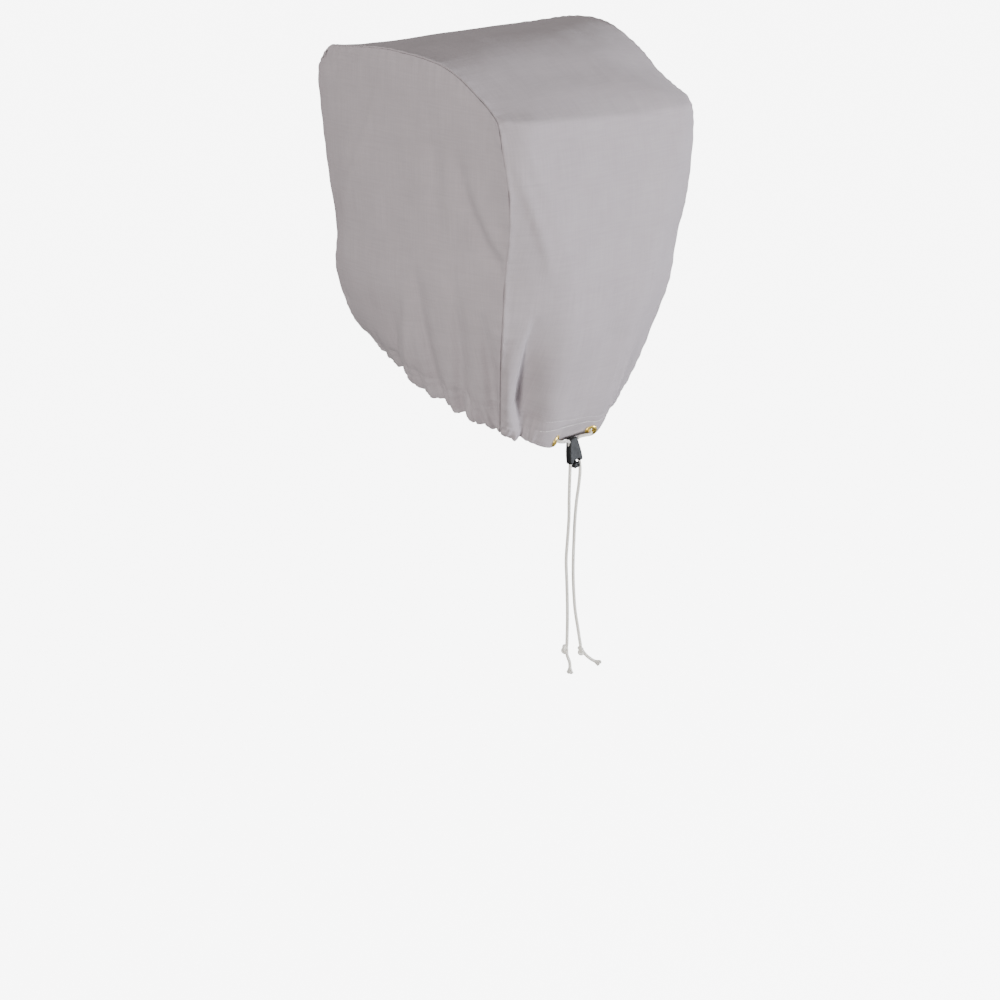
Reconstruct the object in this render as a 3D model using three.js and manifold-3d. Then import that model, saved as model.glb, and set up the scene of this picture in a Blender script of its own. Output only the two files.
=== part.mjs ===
// A fitted cloth hood: two side panels and one centre panel that runs up the front, over the top
// and down the back. A drawcord casing gathers the hem. The cord's two free ends leave two brass
// grommets at the back, pass through a sprung cord lock and hang, each with a knot and a tail.
// Millimetres. +X is starboard, +Y the bow and +Z up. The origin is on the underside of the top,
// where the hood rests. The hood is hollow and open below.
import * as THREE from "three";
import { mergeVertices } from "three/addons/utils/BufferGeometryUtils.js";
import Module from "manifold-3d";

const wasm = await Module();
wasm.setup();

// Cloth
const CLOTH = 2;
const CASING = { edge: 3.6, thick: 5.5, full: 7, from: 14, to: 24 };
const SEAM_GAP = 0.3;
const BELLY = 12;
const EDGE_ROUND = 1.6;

// Gathers of the hem over the drawcord
const GATHER = { pitch: 27, depth: 2.4, wander: 1.3, wanderPitch: 97, height: 60 };
const SMOOTH_BACK = { middle: 22, from: 76, to: 100 };

// The flat-bottomed hollow that the drawcord pulls into the back hem, between the grommets
const HOLLOW = { x: 5, floor: 22, rim: 50, deep: 10, height: 46 };

// Hardware
const GROMMET = { hole: 4.1, barrel: 4.9, flange: 9, back: 8.4, rise: 1.9, grip: 2.2, washer: 0.8, above: 10.5 };
const GROMMET_X = { port: -33, starboard: 43 };
const CORD = { radius: 2.5, clear: 0.4, sides: 8, steps: 60 };
const KNOT = { wrap: 4.1, strand: 2.6, tilt: 0.5, lean: 0.35, shift: 0.8 };
const FRAY = { radius: 2.1, long: 3.9, apart: 1.75 };
const LOCK = {
  x: 4.2,
  y: -115,
  z: -610,
  tilt: -0.175,
  height: 40,
  top: 14,
  bottom: 26.4,
  depth: 11,
  bevel: 1.6,
  shoulder: 2,
  waist: 0.35,
  notch: 4.5,
  notchHalf: 6.4,
  notchRound: 3,
};
const BUTTON = { half: 5.4, depth: 10, height: 8, round: 1.6, below: 1.2, stem: 2.4, stemUp: 17, bore: 2.9, boreUp: 22 };
const NOTCH_ROOF = LOCK.notch - LOCK.height / 2;

const COLOURS = {
  side: 0xa8a3a3,
  centre: 0xb3afb0,
  brass: 0xc9a24a,
  cord: 0xeeeadf,
  lock: 0x2f3033,
};

// Rows of a table as objects with named columns.
function table(columns, rows) {
  const names = columns.split(" ");
  return rows.map((row) => Object.fromEntries(names.map((name, i) => [name, row[i]])));
}

// The centre panel's sections, from the front hem up, over the top and down to the back hem:
// the port seam's place and half width, the middle's place, the share of the width that is flat,
// and how much lower the starboard seam lies.
const SECTIONS = table("place seamY seamZ half midY midZ flat droop", [
  ["front hem", 166, -488, 125, 187, -481, 0.3, 0],
  ["front casing", 177, -466, 138, 198, -460, 0.3, 0],
  ["front tuck", 197, -440, 153, 217, -436, 0.3, 0],
  ["front low", 206, -404, 166, 226, -402, 0.3, 0],
  ["front waist", 212, -352, 178, 232, -350, 0.3, 0],
  ["front middle", 205, -290, 181, 227, -290, 0.3, 0],
  ["front high", 210, -200, 192, 230, -200, 0.3, 0],
  ["front brow", 217, -100, 199, 230, -102, 0.3, 2],
  ["front shoulder", 217, -48, 203, 225, -54, 0.3, 5],
  ["front corner", 203, -20, 206, 207, -27, 0.3, 8],
  ["top front", 178, -13, 207, 182, -20, 0.3, 9],
  ["top second", 140, -8, 206.5, 141, -12, 0.3, 5],
  ["top third", 95, -2, 205, 95, -3, 0.3, 2],
  ["crown", 48, 1.3, 203, 48, 2.6, 0.3, 1.5],
  ["crown back", 6, -0.7, 200.5, 6, 2, 0.3, 4],
  ["slope start", -34, -8, 198, -35, -5, 0.3, 12],
  ["slope high", -69, -23, 195, -71, -19, 0.35, 15],
  ["slope middle", -104, -44, 193, -107, -40, 0.4, 19],
  ["slope low", -139, -68, 192, -145, -63, 0.5, 13],
  ["back corner", -162, -90, 194, -174, -88, 0.7, 4],
  ["back brow", -172, -120, 195, -186, -121, 0.8, 0],
  ["back high", -175, -180, 189.5, -194, -180, 0.7, 0],
  ["back upper", -171, -245, 182.5, -197, -245, 0.58, 0],
  ["back middle", -159, -300, 177.5, -196, -300, 0.46, 0],
  ["back waist", -148, -370, 174.5, -188, -372, 0.38, 0],
  ["back tuck", -130, -435, 161, -172, -440, 0.34, 0],
  ["back low", -112, -498, 145, -148, -510, 0.32, 0],
  ["back casing", -95, -546, 129, -123, -575, 0.3, 0],
  ["back hem", -85, -567, 120, -114, -600, 0.3, 0],
]);
const FRONT_CORNER = 9;
const BACK_CORNER = 19;
const BACK_HEM = SECTIONS.length - 1;

// The side panel's hem, from the front seam to the back seam.
const SIDE_HEM = table("out y z", [
  [125, 166, -488],
  [141, 112, -498],
  [149, 60, -518],
  [148, 12, -535],
  [143, -28, -547],
  [133, -63, -558],
  [120, -85, -567],
]);

// Folds. A side's run in y and z, the front's and the back's in x and z, the top's in x and y.
// A negative depth is a trough. A fold with one faded end is deepest at the hem.
const FOLDS = table("face x1 z1 x2 z2 wide deep faded", [
  ["port", -70, -150, -150, -268, 22, -6, 2],
  ["port", -96, -150, -150, -210, 22, 4, 2],
  ["port", -20, -360, -30, -560, 15, -7, 1],
  ["port", -75, -410, -72, -560, 17, -6, 1],
  ["port", -118, -380, -78, -580, 12, -8, 1],
  ["port", 35, -400, 45, -540, 20, -4, 1],
  ["port", 120, -60, 190, -330, 24, 4, 2],
  ["port", 60, -60, 20, -420, 45, -4, 2],
  ["starboard", -80, -140, -150, -290, 15, -6, 2],
  ["starboard", -40, -380, -48, -560, 16, -7, 1],
  ["starboard", 40, -350, 55, -540, 18, -6, 1],
  ["starboard", -105, -400, -80, -580, 12, -7, 1],
  ["starboard", 110, -90, 178, -330, 24, 4, 2],
  ["back", -100, -430, -84, -610, 16, -13, 1],
  ["back", -62, -440, -66, -600, 16, 5, 1],
  ["back", 104, -440, 92, -600, 14, -7, 1],
  ["back", 60, -330, 20, -520, 40, -4, 2],
  ["front", -60, -330, -75, -500, 18, -6, 1],
  ["front", 50, -350, 62, -500, 16, -5, 1],
  ["front", 0, -120, 12, -400, 40, -5, 2],
  ["top", -60, 150, 90, -20, 40, -3, 2],
]);

// The free cords, from inside each grommet, through the lock and down to the knot.
const CORD_ROUTES = {
  port: [
    [-34.1, -111.8, -587.9],
    [-31.3, -114.7, -589.3],
    [-28, -118.8, -590.8],
    [-21.5, -121.5, -591.6],
    [-13.5, -119.8, -592.4],
    [-7, -116.8, -596],
    [-3.8, -115, -603],
    [-2.6, -115, -616],
    [-1.9, -115, -631],
    [-2.6, -115, -650],
    [-3.6, -115, -684],
    [-3.9, -115, -718],
    [-5.3, -113.7, -751],
    [-6.6, -112.5, -783],
    [-5.8, -113.3, -818],
    [-5, -114.1, -855],
    [-4.8, -114.2, -888],
    [-5.2, -113.8, -920.7],
  ],
  starboard: [
    [43.9, -110.8, -587.8],
    [41.2, -113.9, -589.2],
    [38.5, -118.3, -590.6],
    [32, -121.2, -591],
    [23, -119.8, -590.8],
    [14.5, -116.6, -592.4],
    [9.8, -115, -597.6],
    [10, -115, -605],
    [13.2, -115, -615],
    [17, -115, -628],
    [18.4, -116, -643],
    [17, -115, -667],
    [14.6, -112.8, -693],
    [13, -111.2, -723],
    [12, -110.4, -756],
    [11.4, -109.8, -788],
    [11.6, -110, -820],
    [13.8, -111.9, -867],
    [17, -115, -897],
    [20.2, -118.2, -926.9],
  ],
};

// The tails below the knots, from the knot's middle to the frayed tip.
const TAIL_ROUTES = {
  port: [
    [-5.5, -113.5, -927],
    [-5, -114, -936],
    [-2, -117, -950],
    [-1.7, -117.2, -963],
  ],
  starboard: [
    [20.8, -118.8, -934],
    [25, -122.6, -940],
    [32, -129.4, -949],
    [39.5, -136.4, -954.5],
  ],
};

const lerp = THREE.MathUtils.lerp;
const smooth = (x) => THREE.MathUtils.smoothstep(x, 0, 1);

// A smooth curve through rows, by the named columns of three values.
function through(rows, x, y, z) {
  const points = rows.map((row) => new THREE.Vector3(row[x], row[y], row[z]));
  return new THREE.CatmullRomCurve3(points, false, "catmullrom", 0.5);
}
const drooped = SECTIONS.map((row) => ({ ...row, seamZ: row.seamZ - row.droop }));
const portSeam = through(SECTIONS, "half", "seamY", "seamZ");
const starboardSeam = through(drooped, "half", "seamY", "seamZ");
const middleLine = through(SECTIONS, "flat", "midY", "midZ");
const sideHemLine = through(SIDE_HEM, "out", "y", "z");

// A seam's point at a section number: half width, y and z. hand is -1 at port, 1 at starboard.
const seamAt = (section, hand) => (hand < 0 ? portSeam : starboardSeam).getPoint(section / BACK_HEM);

// The centre panel before its folds, at a section number and from -1 at port to 1 at starboard.
function centreBase(section, across) {
  const seam = seamAt(section, across);
  const middle = middleLine.getPoint(section / BACK_HEM);
  const past = Math.max(0, Math.abs(across) - middle.x) / (1 - middle.x);
  const rise = 1 - past ** EDGE_ROUND;
  return new THREE.Vector3(
    across * seam.x,
    lerp(seam.y, middle.y, rise),
    lerp(seam.z, middle.z, rise),
  );
}

// A side panel before its folds, from 0 at the front to 1 at the back and 0 at the top to 1 at
// the hem. Its x is the distance out from the middle of the hood. The four edges are blended.
function sideBase(hand, back, down) {
  const top = seamAt(lerp(FRONT_CORNER, BACK_CORNER, back), hand);
  const hem = sideHemLine.getPoint(back);
  const front = seamAt(FRONT_CORNER * (1 - down), hand);
  const rear = seamAt(lerp(BACK_CORNER, BACK_HEM, down), hand);
  const corners = [
    [seamAt(FRONT_CORNER, hand), (1 - back) * (1 - down)],
    [seamAt(BACK_CORNER, hand), back * (1 - down)],
    [seamAt(0, hand), (1 - back) * down],
    [seamAt(BACK_HEM, hand), back * down],
  ];
  const point = top.multiplyScalar(1 - down).addScaledVector(hem, down);
  point.addScaledVector(front, 1 - back).addScaledVector(rear, back);
  corners.forEach(([corner, share]) => point.addScaledVector(corner, -share));
  point.x += BELLY * 4 * back * (1 - back) * smooth(down * 1.6) * (1 - down ** 4);
  return point;
}

// The outward normal of a surface with two parameters, each kept a little inside its range.
function normalOf(surface, u, v, range, step) {
  const [uLow, uHigh, vLow, vHigh] = range;
  const a = THREE.MathUtils.clamp(u, uLow + step[0], uHigh - step[0]);
  const b = THREE.MathUtils.clamp(v, vLow + step[1], vHigh - step[1]);
  const alongU = surface(a + step[0], b).sub(surface(a - step[0], b));
  const alongV = surface(a, b + step[1]).sub(surface(a, b - step[1]));
  return alongU.cross(alongV).normalize();
}
const centreNormal = (section, across) =>
  normalOf(centreBase, section, across, [0, BACK_HEM, -1, 1], [0.12, 0.04]);
const sideNormal = (hand, back, down) =>
  normalOf((u, v) => sideBase(hand, u, v), back, down, [0, 1, 0, 1], [0.03, 0.03]);

// The height of the folds of one face at a place on it.
function foldHeight(face, x, z) {
  let height = 0;
  for (const fold of FOLDS) {
    if (fold.face !== face) continue;
    const runX = fold.x2 - fold.x1;
    const runZ = fold.z2 - fold.z1;
    const on = ((x - fold.x1) * runX + (z - fold.z1) * runZ) / (runX ** 2 + runZ ** 2);
    const along = THREE.MathUtils.clamp(on, 0, 1);
    const away = Math.hypot(x - fold.x1 - along * runX, z - fold.z1 - along * runZ);
    const fade = fold.faded === 2 ? smooth(along / 0.4) * smooth((1 - along) / 0.4) : smooth(along / 0.7);
    height += fold.deep * fade * Math.exp(-((away / fold.wide) ** 2));
  }
  return height;
}

// The gathers at a place along the hem and a height above it.
function gatherHeight(along, above) {
  const phase = (2 * Math.PI * along) / GATHER.pitch;
  const wander = GATHER.wander * Math.sin((2 * Math.PI * along) / GATHER.wanderPitch);
  return GATHER.depth * Math.sin(phase + wander) * smooth(1 - above / GATHER.height);
}

// The hollow of the back hem at a distance from its middle and a height above the hem.
function hollowHeight(x, above) {
  const away = Math.abs(x - HOLLOW.x);
  const floor = smooth((HOLLOW.rim - away) / (HOLLOW.rim - HOLLOW.floor));
  return -HOLLOW.deep * floor * smooth(1 - above / HOLLOW.height);
}

// The thickness at a height above the hem: the casing swells over its cord, then meets the cloth.
function clothAt(above) {
  const { edge, thick, full, from, to } = CASING;
  if (above < full) return lerp(edge, thick, smooth(above / full));
  return lerp(thick, CLOTH, smooth((above - from) / (to - from)));
}

// The inward step at a seam that both of its panels share, for a cloth 1 thick.
function mitre(sideOut, centreOut) {
  return sideOut.clone().add(centreOut).divideScalar(1 + sideOut.dot(centreOut));
}

// The centre panel's outer point and inner point.
function centrePoint(section, across) {
  const base = centreBase(section, across);
  const out = centreNormal(section, across);
  const atFront = section < FRONT_CORNER;
  const atBack = section > BACK_CORNER;
  const hem = centreBase(atFront ? 0 : BACK_HEM, across);
  const above = atFront || atBack ? base.distanceTo(hem) : GATHER.height;
  const face = atFront ? "front" : atBack ? "back" : "top";
  let height = foldHeight(face, base.x, face === "top" ? base.y : base.z);
  const gathered = atBack
    ? smooth((Math.abs(base.x - SMOOTH_BACK.middle) - SMOOTH_BACK.from) / (SMOOTH_BACK.to - SMOOTH_BACK.from))
    : 1;
  height += gathered * gatherHeight(base.x, above);
  height *= smooth((1 - Math.abs(across)) / 0.1);
  if (atBack) height += hollowHeight(base.x, above);
  const outer = base.addScaledVector(out, height);
  const hand = Math.sign(across);
  const atSeam = Math.abs(across) === 1;
  if (!atSeam) return { outer, inner: outer.clone().addScaledVector(out, -clothAt(above)) };
  return seamPoint(outer, sideNormalAtSeam(section, hand), out, clothAt(above), -1);
}

// The side panel's normal at the seam, by the section number.
function sideNormalAtSeam(section, hand) {
  let out;
  if (section <= FRONT_CORNER) out = sideNormal(hand, 0, 1 - section / FRONT_CORNER);
  else if (section < BACK_CORNER)
    out = sideNormal(hand, (section - FRONT_CORNER) / (BACK_CORNER - FRONT_CORNER), 0);
  else out = sideNormal(hand, 1, (section - BACK_CORNER) / (BACK_HEM - BACK_CORNER));
  out.x *= hand;
  return out;
}

// A pair of points on a seam, moved half the gap off the plane between the panels.
function seamPoint(outer, sideOut, centreOut, thick, toSide) {
  const off = sideOut.clone().sub(centreOut).setLength((SEAM_GAP / 2) * toSide);
  const inner = outer.clone().addScaledVector(mitre(sideOut, centreOut), -thick);
  return { outer: outer.clone().add(off), inner: inner.add(off) };
}

// A side panel's outer point and inner point. hand is -1 at port and 1 at starboard.
function sidePoint(hand, back, down) {
  const base = sideBase(hand, back, down);
  const out = sideNormal(hand, back, down);
  const above = base.distanceTo(sideBase(hand, back, 1));
  const face = hand < 0 ? "port" : "starboard";
  let height = foldHeight(face, base.y, base.z) + gatherHeight(base.y, above);
  height *= smooth(Math.min(back, 1 - back) / 0.05) * smooth(down / 0.12);
  const outer = base.addScaledVector(out, height);
  outer.x *= hand;
  out.x *= hand;
  let section = null;
  if (back === 0) section = FRONT_CORNER * (1 - down);
  else if (back === 1) section = lerp(BACK_CORNER, BACK_HEM, down);
  else if (down === 0) section = lerp(FRONT_CORNER, BACK_CORNER, back);
  if (section === null) return { outer, inner: outer.clone().addScaledVector(out, -clothAt(above)) };
  const centreOut = centreNormal(section, hand);
  return seamPoint(outer, sideNormalAtSeam(section, hand), centreOut, clothAt(aboveAtSeam(section, hand)), 1);
}

// The height above the hem of a seam point.
function aboveAtSeam(section, hand) {
  const hem = section < FRONT_CORNER ? 0 : BACK_HEM;
  if (section >= FRONT_CORNER && section <= BACK_CORNER) return GATHER.height;
  return seamAt(section, hand).distanceTo(seamAt(hem, hand));
}

// A closed sheet from rows of outer and inner points. A row has as many steps as the next one,
// twice as many or half as many.
function sheet(rows) {
  const points = rows.flat();
  const starts = [];
  rows.reduce((count, row) => {
    starts.push(count);
    return count + row.length;
  }, 0);
  const faces = [];
  for (let j = 0; j < rows.length - 1; j++) {
    const flip = rows[j].length > rows[j + 1].length;
    const [near, far] = flip ? [j + 1, j] : [j, j + 1];
    const step = (rows[far].length - 1) / (rows[near].length - 1);
    for (let i = 0; i < rows[near].length - 1; i++) {
      const a = starts[near] + i;
      const c = starts[far] + i * step;
      const cell = step === 1
        ? [[a, c, c + 1], [a, c + 1, a + 1]]
        : [[a, c, c + 1], [a, c + 1, a + 1], [a + 1, c + 1, c + 2]];
      cell.forEach((face) => faces.push(flip ? face.reverse() : face));
    }
  }
  const edges = new Set(faces.flatMap(([a, b, c]) => [`${a} ${b}`, `${b} ${c}`, `${c} ${a}`]));
  const n = points.length;
  const index = faces.flatMap(([a, b, c]) => [a, b, c, n + a, n + c, n + b]);
  for (const edge of edges) {
    const [a, b] = edge.split(" ").map(Number);
    if (!edges.has(`${b} ${a}`)) index.push(b, a, n + a, b, n + a, n + b);
  }
  const places = [...points.map((p) => p.outer), ...points.map((p) => p.inner)];
  const geometry = new THREE.BufferGeometry().setFromPoints(places);
  geometry.setIndex(volumeOf(places, index) < 0 ? index.reverse() : index);
  return geometry;
}

// The signed volume inside the faces.
function volumeOf(places, index) {
  let volume = 0;
  for (let i = 0; i < index.length; i += 3) {
    const [a, b, c] = [0, 1, 2].map((k) => places[index[i + k]]);
    volume += a.dot(new THREE.Vector3().crossVectors(b, c)) / 6;
  }
  return volume;
}

const range = (count) => Array.from({ length: count + 1 }, (_, i) => i / count);

// Rows of the centre panel: two for each section, with more steps near the two hems.
function centrePanel() {
  const rows = range(BACK_HEM * 2).map((share) => {
    const section = share * BACK_HEM;
    const fromHem = Math.min(section, BACK_HEM - section);
    const steps = fromHem <= 1 ? 48 : fromHem <= 3.5 ? 24 : 12;
    return range(steps).map((across) => centrePoint(section, across * 2 - 1));
  });
  return sheet(rows);
}

// Rows of a side panel, from the top to the hem, with more steps near the hem.
function sidePanel(hand) {
  const levels = FRONT_CORNER * 2;
  const rows = range(levels).map((down) => {
    const fromHem = levels * (1 - down);
    const steps = fromHem <= 2.01 ? 96 : fromHem <= 5.01 ? 48 : 24;
    return range(steps).map((back) => sidePoint(hand, back, down));
  });
  return sheet(rows);
}

function solidOf(geometry) {
  const bare = geometry.clone();
  bare.deleteAttribute("normal");
  bare.deleteAttribute("uv");
  const merged = mergeVertices(bare, 1e-4);
  return new wasm.Manifold(
    new wasm.Mesh({
      numProp: 3,
      vertProperties: merged.attributes.position.array,
      triVerts: new Uint32Array(merged.index.array),
    }),
  );
}

function geometryOf(solid) {
  const mesh = solid.getMesh();
  const geometry = new THREE.BufferGeometry();
  geometry.setAttribute("position", new THREE.BufferAttribute(new Float32Array(mesh.vertProperties), 3));
  geometry.setIndex(new THREE.BufferAttribute(new Uint32Array(mesh.triVerts), 1));
  return geometry;
}

const cut = (geometry, tools) =>
  geometryOf(tools.reduce((solid, tool) => solid.subtract(solidOf(tool)), solidOf(geometry)));
const join = (pieces) => geometryOf(pieces.map(solidOf).reduce((solid, piece) => solid.add(piece)));

// A round bar along a curve, with flat ends.
function tube(curve, radius, steps) {
  const corners = range(CORD.sides).slice(1).map((turn) => turn * 2 * Math.PI);
  const points = corners.map((turn) => new THREE.Vector2(radius * Math.cos(turn), radius * Math.sin(turn)));
  return new THREE.ExtrudeGeometry(new THREE.Shape(points), { steps, extrudePath: curve });
}

const routeOf = (points) => new THREE.CatmullRomCurve3(points.map((point) => new THREE.Vector3(...point)));

// Where a grommet sits on the back hem: its place, and its axis out of the cloth.
function grommetSeat(x) {
  let low = BACK_CORNER;
  let high = BACK_HEM;
  const acrossAt = (section) => x / seamAt(section, x).x;
  for (let i = 0; i < 30; i++) {
    const middle = (low + high) / 2;
    const hem = centreBase(BACK_HEM, acrossAt(middle));
    if (centreBase(middle, acrossAt(middle)).distanceTo(hem) > GROMMET.above) low = middle;
    else high = middle;
  }
  const across = acrossAt(high);
  const surface = (section, t) => centrePoint(section, t).outer;
  const axis = normalOf(surface, high, across, [0, BACK_HEM, -1, 1], [0.2, 0.05]);
  return { place: surface(high, across), axis };
}

const turnTo = (axis) => new THREE.Quaternion().setFromUnitVectors(new THREE.Vector3(0, 0, 1), axis);

// Turned pieces stand on the z axis.
function turned(profile, segments = 24) {
  const points = profile.map(([radius, z]) => new THREE.Vector2(radius, z));
  return new THREE.LatheGeometry(points, segments).rotateX(Math.PI / 2);
}

// A grommet: a rolled flange outside, a barrel through the cloth and a washer inside.
function grommetShape() {
  const { hole, barrel, flange, back, rise, grip, washer } = GROMMET;
  const under = -grip - SEAM_GAP;
  return turned([
    [hole, under - washer],
    [back, under - washer],
    [back, under],
    [barrel, under],
    [barrel, SEAM_GAP],
    [flange, SEAM_GAP],
    [lerp(hole, flange, 0.84), rise * 0.75],
    [lerp(hole, flange, 0.5), rise],
    [lerp(hole, flange, 0.12), rise * 0.9],
    [hole, rise * 0.5],
    [hole, under - washer],
  ]);
}

// What a grommet takes out of the cloth: room over each face and the hole between them.
function grommetRoom(seat) {
  const { barrel, flange, back, grip } = GROMMET;
  const far = 14;
  const spans = [
    [flange, 0, far],
    [barrel, -grip - 1, 1],
    [back, -far, -grip],
  ];
  return spans.map(([radius, low, high]) => {
    const wide = radius + SEAM_GAP;
    const bar = turned([[0, low], [wide, low], [wide, high], [0, high]]);
    return bar.applyQuaternion(turnTo(seat.axis)).translate(...seat.place);
  });
}

// An overhand knot drawn tight, as two crossing wraps about the cord, with its tail.
function knotShape(tail) {
  const route = routeOf(tail);
  const middle = route.getPoint(0);
  const down = route.getTangent(0);
  const wraps = [-1, 1].map((side) =>
    new THREE.TorusGeometry(KNOT.wrap, KNOT.strand, 6, 12)
      .rotateX(side * KNOT.tilt)
      .rotateY(side * KNOT.lean)
      .translate(0, 0, side * KNOT.shift)
      .applyQuaternion(turnTo(down))
      .translate(...middle),
  );
  const core = new THREE.SphereGeometry(KNOT.wrap, 8, 6).translate(...middle);
  const tip = route.getPoint(1);
  const aside = new THREE.Vector3(1, 0.4, -0.6).setLength(FRAY.apart);
  const strands = [-1, 1].map((side) =>
    new THREE.SphereGeometry(1, 6, 4)
      .scale(FRAY.radius, FRAY.radius, FRAY.long)
      .applyQuaternion(turnTo(route.getTangent(1)))
      .translate(...tip.clone().addScaledVector(aside, side)),
  );
  return join([...wraps, core, tube(route, CORD.radius, 8), ...strands]);
}

// The lock's body, narrow at the top, with a notch between two lobes below.
function lockBody() {
  const { height, top, bottom, depth, bevel, shoulder, waist, notch, notchHalf, notchRound } = LOCK;
  const outline = new THREE.Shape();
  const low = bevel - height / 2;
  const high = height / 2 - bevel;
  const wide = bottom / 2 - bevel;
  const narrow = top / 2 - bevel;
  const notchWide = notchHalf + bevel;
  const roof = low + notch;
  outline.moveTo(-wide, low);
  outline.lineTo(-notchWide, low);
  outline.quadraticCurveTo(1 - notchWide, roof, notchRound - notchHalf, roof);
  outline.lineTo(notchHalf - notchRound, roof);
  outline.quadraticCurveTo(notchWide - 1, roof, notchWide, low);
  outline.lineTo(wide, low);
  outline.quadraticCurveTo(wide, low + height * waist, narrow + 1, high - shoulder);
  outline.quadraticCurveTo(narrow, high, narrow - shoulder, high);
  outline.lineTo(shoulder - narrow, high);
  outline.quadraticCurveTo(-narrow, high, -narrow - 1, high - shoulder);
  outline.quadraticCurveTo(-wide, low + height * waist, -wide, low);
  const thick = depth - 2 * bevel;
  const options = { depth: thick, bevelSize: bevel, bevelThickness: bevel, bevelSegments: 2, curveSegments: 5 };
  return new THREE.ExtrudeGeometry(outline, options).translate(0, 0, -thick / 2).rotateX(Math.PI / 2);
}

// The button: a rounded head under the lock, and a stem up the bore.
function buttonShape() {
  const { half, depth, height, round, stem, below, stemUp } = BUTTON;
  const headTop = -LOCK.height / 2 - below;
  const stemTop = NOTCH_ROOF + stemUp;
  const outline = new THREE.Shape();
  outline.absellipse(0, 0, half - round, depth / 2 - round, 0, 2 * Math.PI);
  const head = new THREE.ExtrudeGeometry(outline, {
    depth: height - 2 * round,
    bevelSize: round,
    bevelThickness: round,
    bevelSegments: 2,
    curveSegments: 10,
  }).translate(0, 0, headTop - height + round);
  const stemBar = turned([
    [0, headTop - 2],
    [stem, headTop - 2],
    [stem, stemTop],
    [0, stemTop],
  ], 16);
  return join([head, stemBar]);
}

// The body and the button in a tilted group. The cords' channels and the stem's bore are cut out.
function lockGroup(cords) {
  const group = new THREE.Group();
  group.position.set(LOCK.x, LOCK.y, LOCK.z);
  group.rotation.y = LOCK.tilt;
  group.updateMatrixWorld(true);
  const toLock = group.matrixWorld.clone().invert();
  const channels = cords.map((curve) =>
    tube(curve, CORD.radius + CORD.clear, CORD.steps).applyMatrix4(toLock),
  );
  const boreTop = NOTCH_ROOF + BUTTON.boreUp;
  const bore = turned([
    [0, NOTCH_ROOF - 3],
    [BUTTON.bore, NOTCH_ROOF - 3],
    [BUTTON.bore, boreTop],
    [0, boreTop],
  ], 16);
  const body = piece("lock_body", cut(lockBody(), [...channels, bore]), COLOURS.lock, 0.45);
  group.add(body, piece("lock_button", buttonShape(), COLOURS.lock, 0.4));
  return group;
}

function piece(name, geometry, color, roughness, metalness = 0) {
  const mesh = new THREE.Mesh(geometry, new THREE.MeshStandardMaterial({ color, roughness, metalness }));
  mesh.name = name;
  return mesh;
}

const hood = new THREE.Group();
const sides = Object.keys(GROMMET_X);
const seats = sides.map((side) => grommetSeat(GROMMET_X[side]));

hood.add(piece("centre_panel", cut(centrePanel(), seats.flatMap(grommetRoom)), COLOURS.centre, 0.95));
hood.add(piece("side_panel_port", sidePanel(-1), COLOURS.side, 0.95));
hood.add(piece("side_panel_starboard", sidePanel(1), COLOURS.side, 0.95));

sides.forEach((side, i) => {
  const grommet = piece(`grommet_${side}`, grommetShape(), COLOURS.brass, 0.3, 1);
  grommet.position.copy(seats[i].place);
  grommet.quaternion.copy(turnTo(seats[i].axis));
  hood.add(grommet);
});

const cords = sides.map((side) => routeOf(CORD_ROUTES[side]));
sides.forEach((side, i) => {
  hood.add(piece(`cord_${side}`, tube(cords[i], CORD.radius, CORD.steps), COLOURS.cord, 0.9));
  hood.add(piece(`knot_${side}`, knotShape(TAIL_ROUTES[side]), COLOURS.cord, 0.9));
});
hood.add(lockGroup(cords));

export default hood;
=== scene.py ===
"""A fitted cloth hood, gathered at its hem by a drawcord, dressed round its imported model.

Sizes in the tables are millimetres. +X is starboard, +Y the bow and +Z up. The panels' sections
and the cords' routes are those that the solids were made from, so each piece lies where its
solid lies. The folds, the bend from the top to the back and the port seam's wander are finer.
"""
import math

import bmesh
import bpy
import numpy as np
from mathutils import Matrix, Vector, noise


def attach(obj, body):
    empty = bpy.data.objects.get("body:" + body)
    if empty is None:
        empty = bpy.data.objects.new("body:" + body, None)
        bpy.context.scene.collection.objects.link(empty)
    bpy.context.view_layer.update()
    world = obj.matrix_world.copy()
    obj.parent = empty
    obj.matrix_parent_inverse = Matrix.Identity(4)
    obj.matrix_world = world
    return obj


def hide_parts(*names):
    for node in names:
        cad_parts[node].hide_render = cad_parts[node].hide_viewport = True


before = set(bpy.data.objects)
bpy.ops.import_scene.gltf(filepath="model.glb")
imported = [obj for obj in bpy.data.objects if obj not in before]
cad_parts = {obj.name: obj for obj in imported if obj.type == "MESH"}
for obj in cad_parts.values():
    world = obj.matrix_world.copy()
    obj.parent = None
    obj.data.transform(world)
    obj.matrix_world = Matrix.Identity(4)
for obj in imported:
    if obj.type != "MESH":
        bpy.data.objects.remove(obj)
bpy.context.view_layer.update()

MM = 0.001


def new_object(name, data):
    """Makes an object and puts it in the scene."""
    made = bpy.data.objects.new(name, data)
    bpy.context.scene.collection.objects.link(made)
    return made


# The camera: its place in metres, its turn and tilt in degrees, and its lens in millimetres.
CAMERA = {"place": (-3.2427, -3.3191, 0.7569), "azimuth": -44.0, "down": 17.6, "lens": 114.12,
          "sensor": 36, "sees_to": 60}


def make_camera():
    data = bpy.data.cameras.new("camera")
    data.lens = CAMERA["lens"]
    data.sensor_width = CAMERA["sensor"]
    data.clip_end = CAMERA["sees_to"]
    camera = new_object("camera", data)
    camera.location = CAMERA["place"]
    tilt = math.radians(90 - CAMERA["down"])
    camera.rotation_euler = (tilt, 0, math.radians(CAMERA["azimuth"]))
    bpy.context.scene.camera = camera


make_camera()

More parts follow.
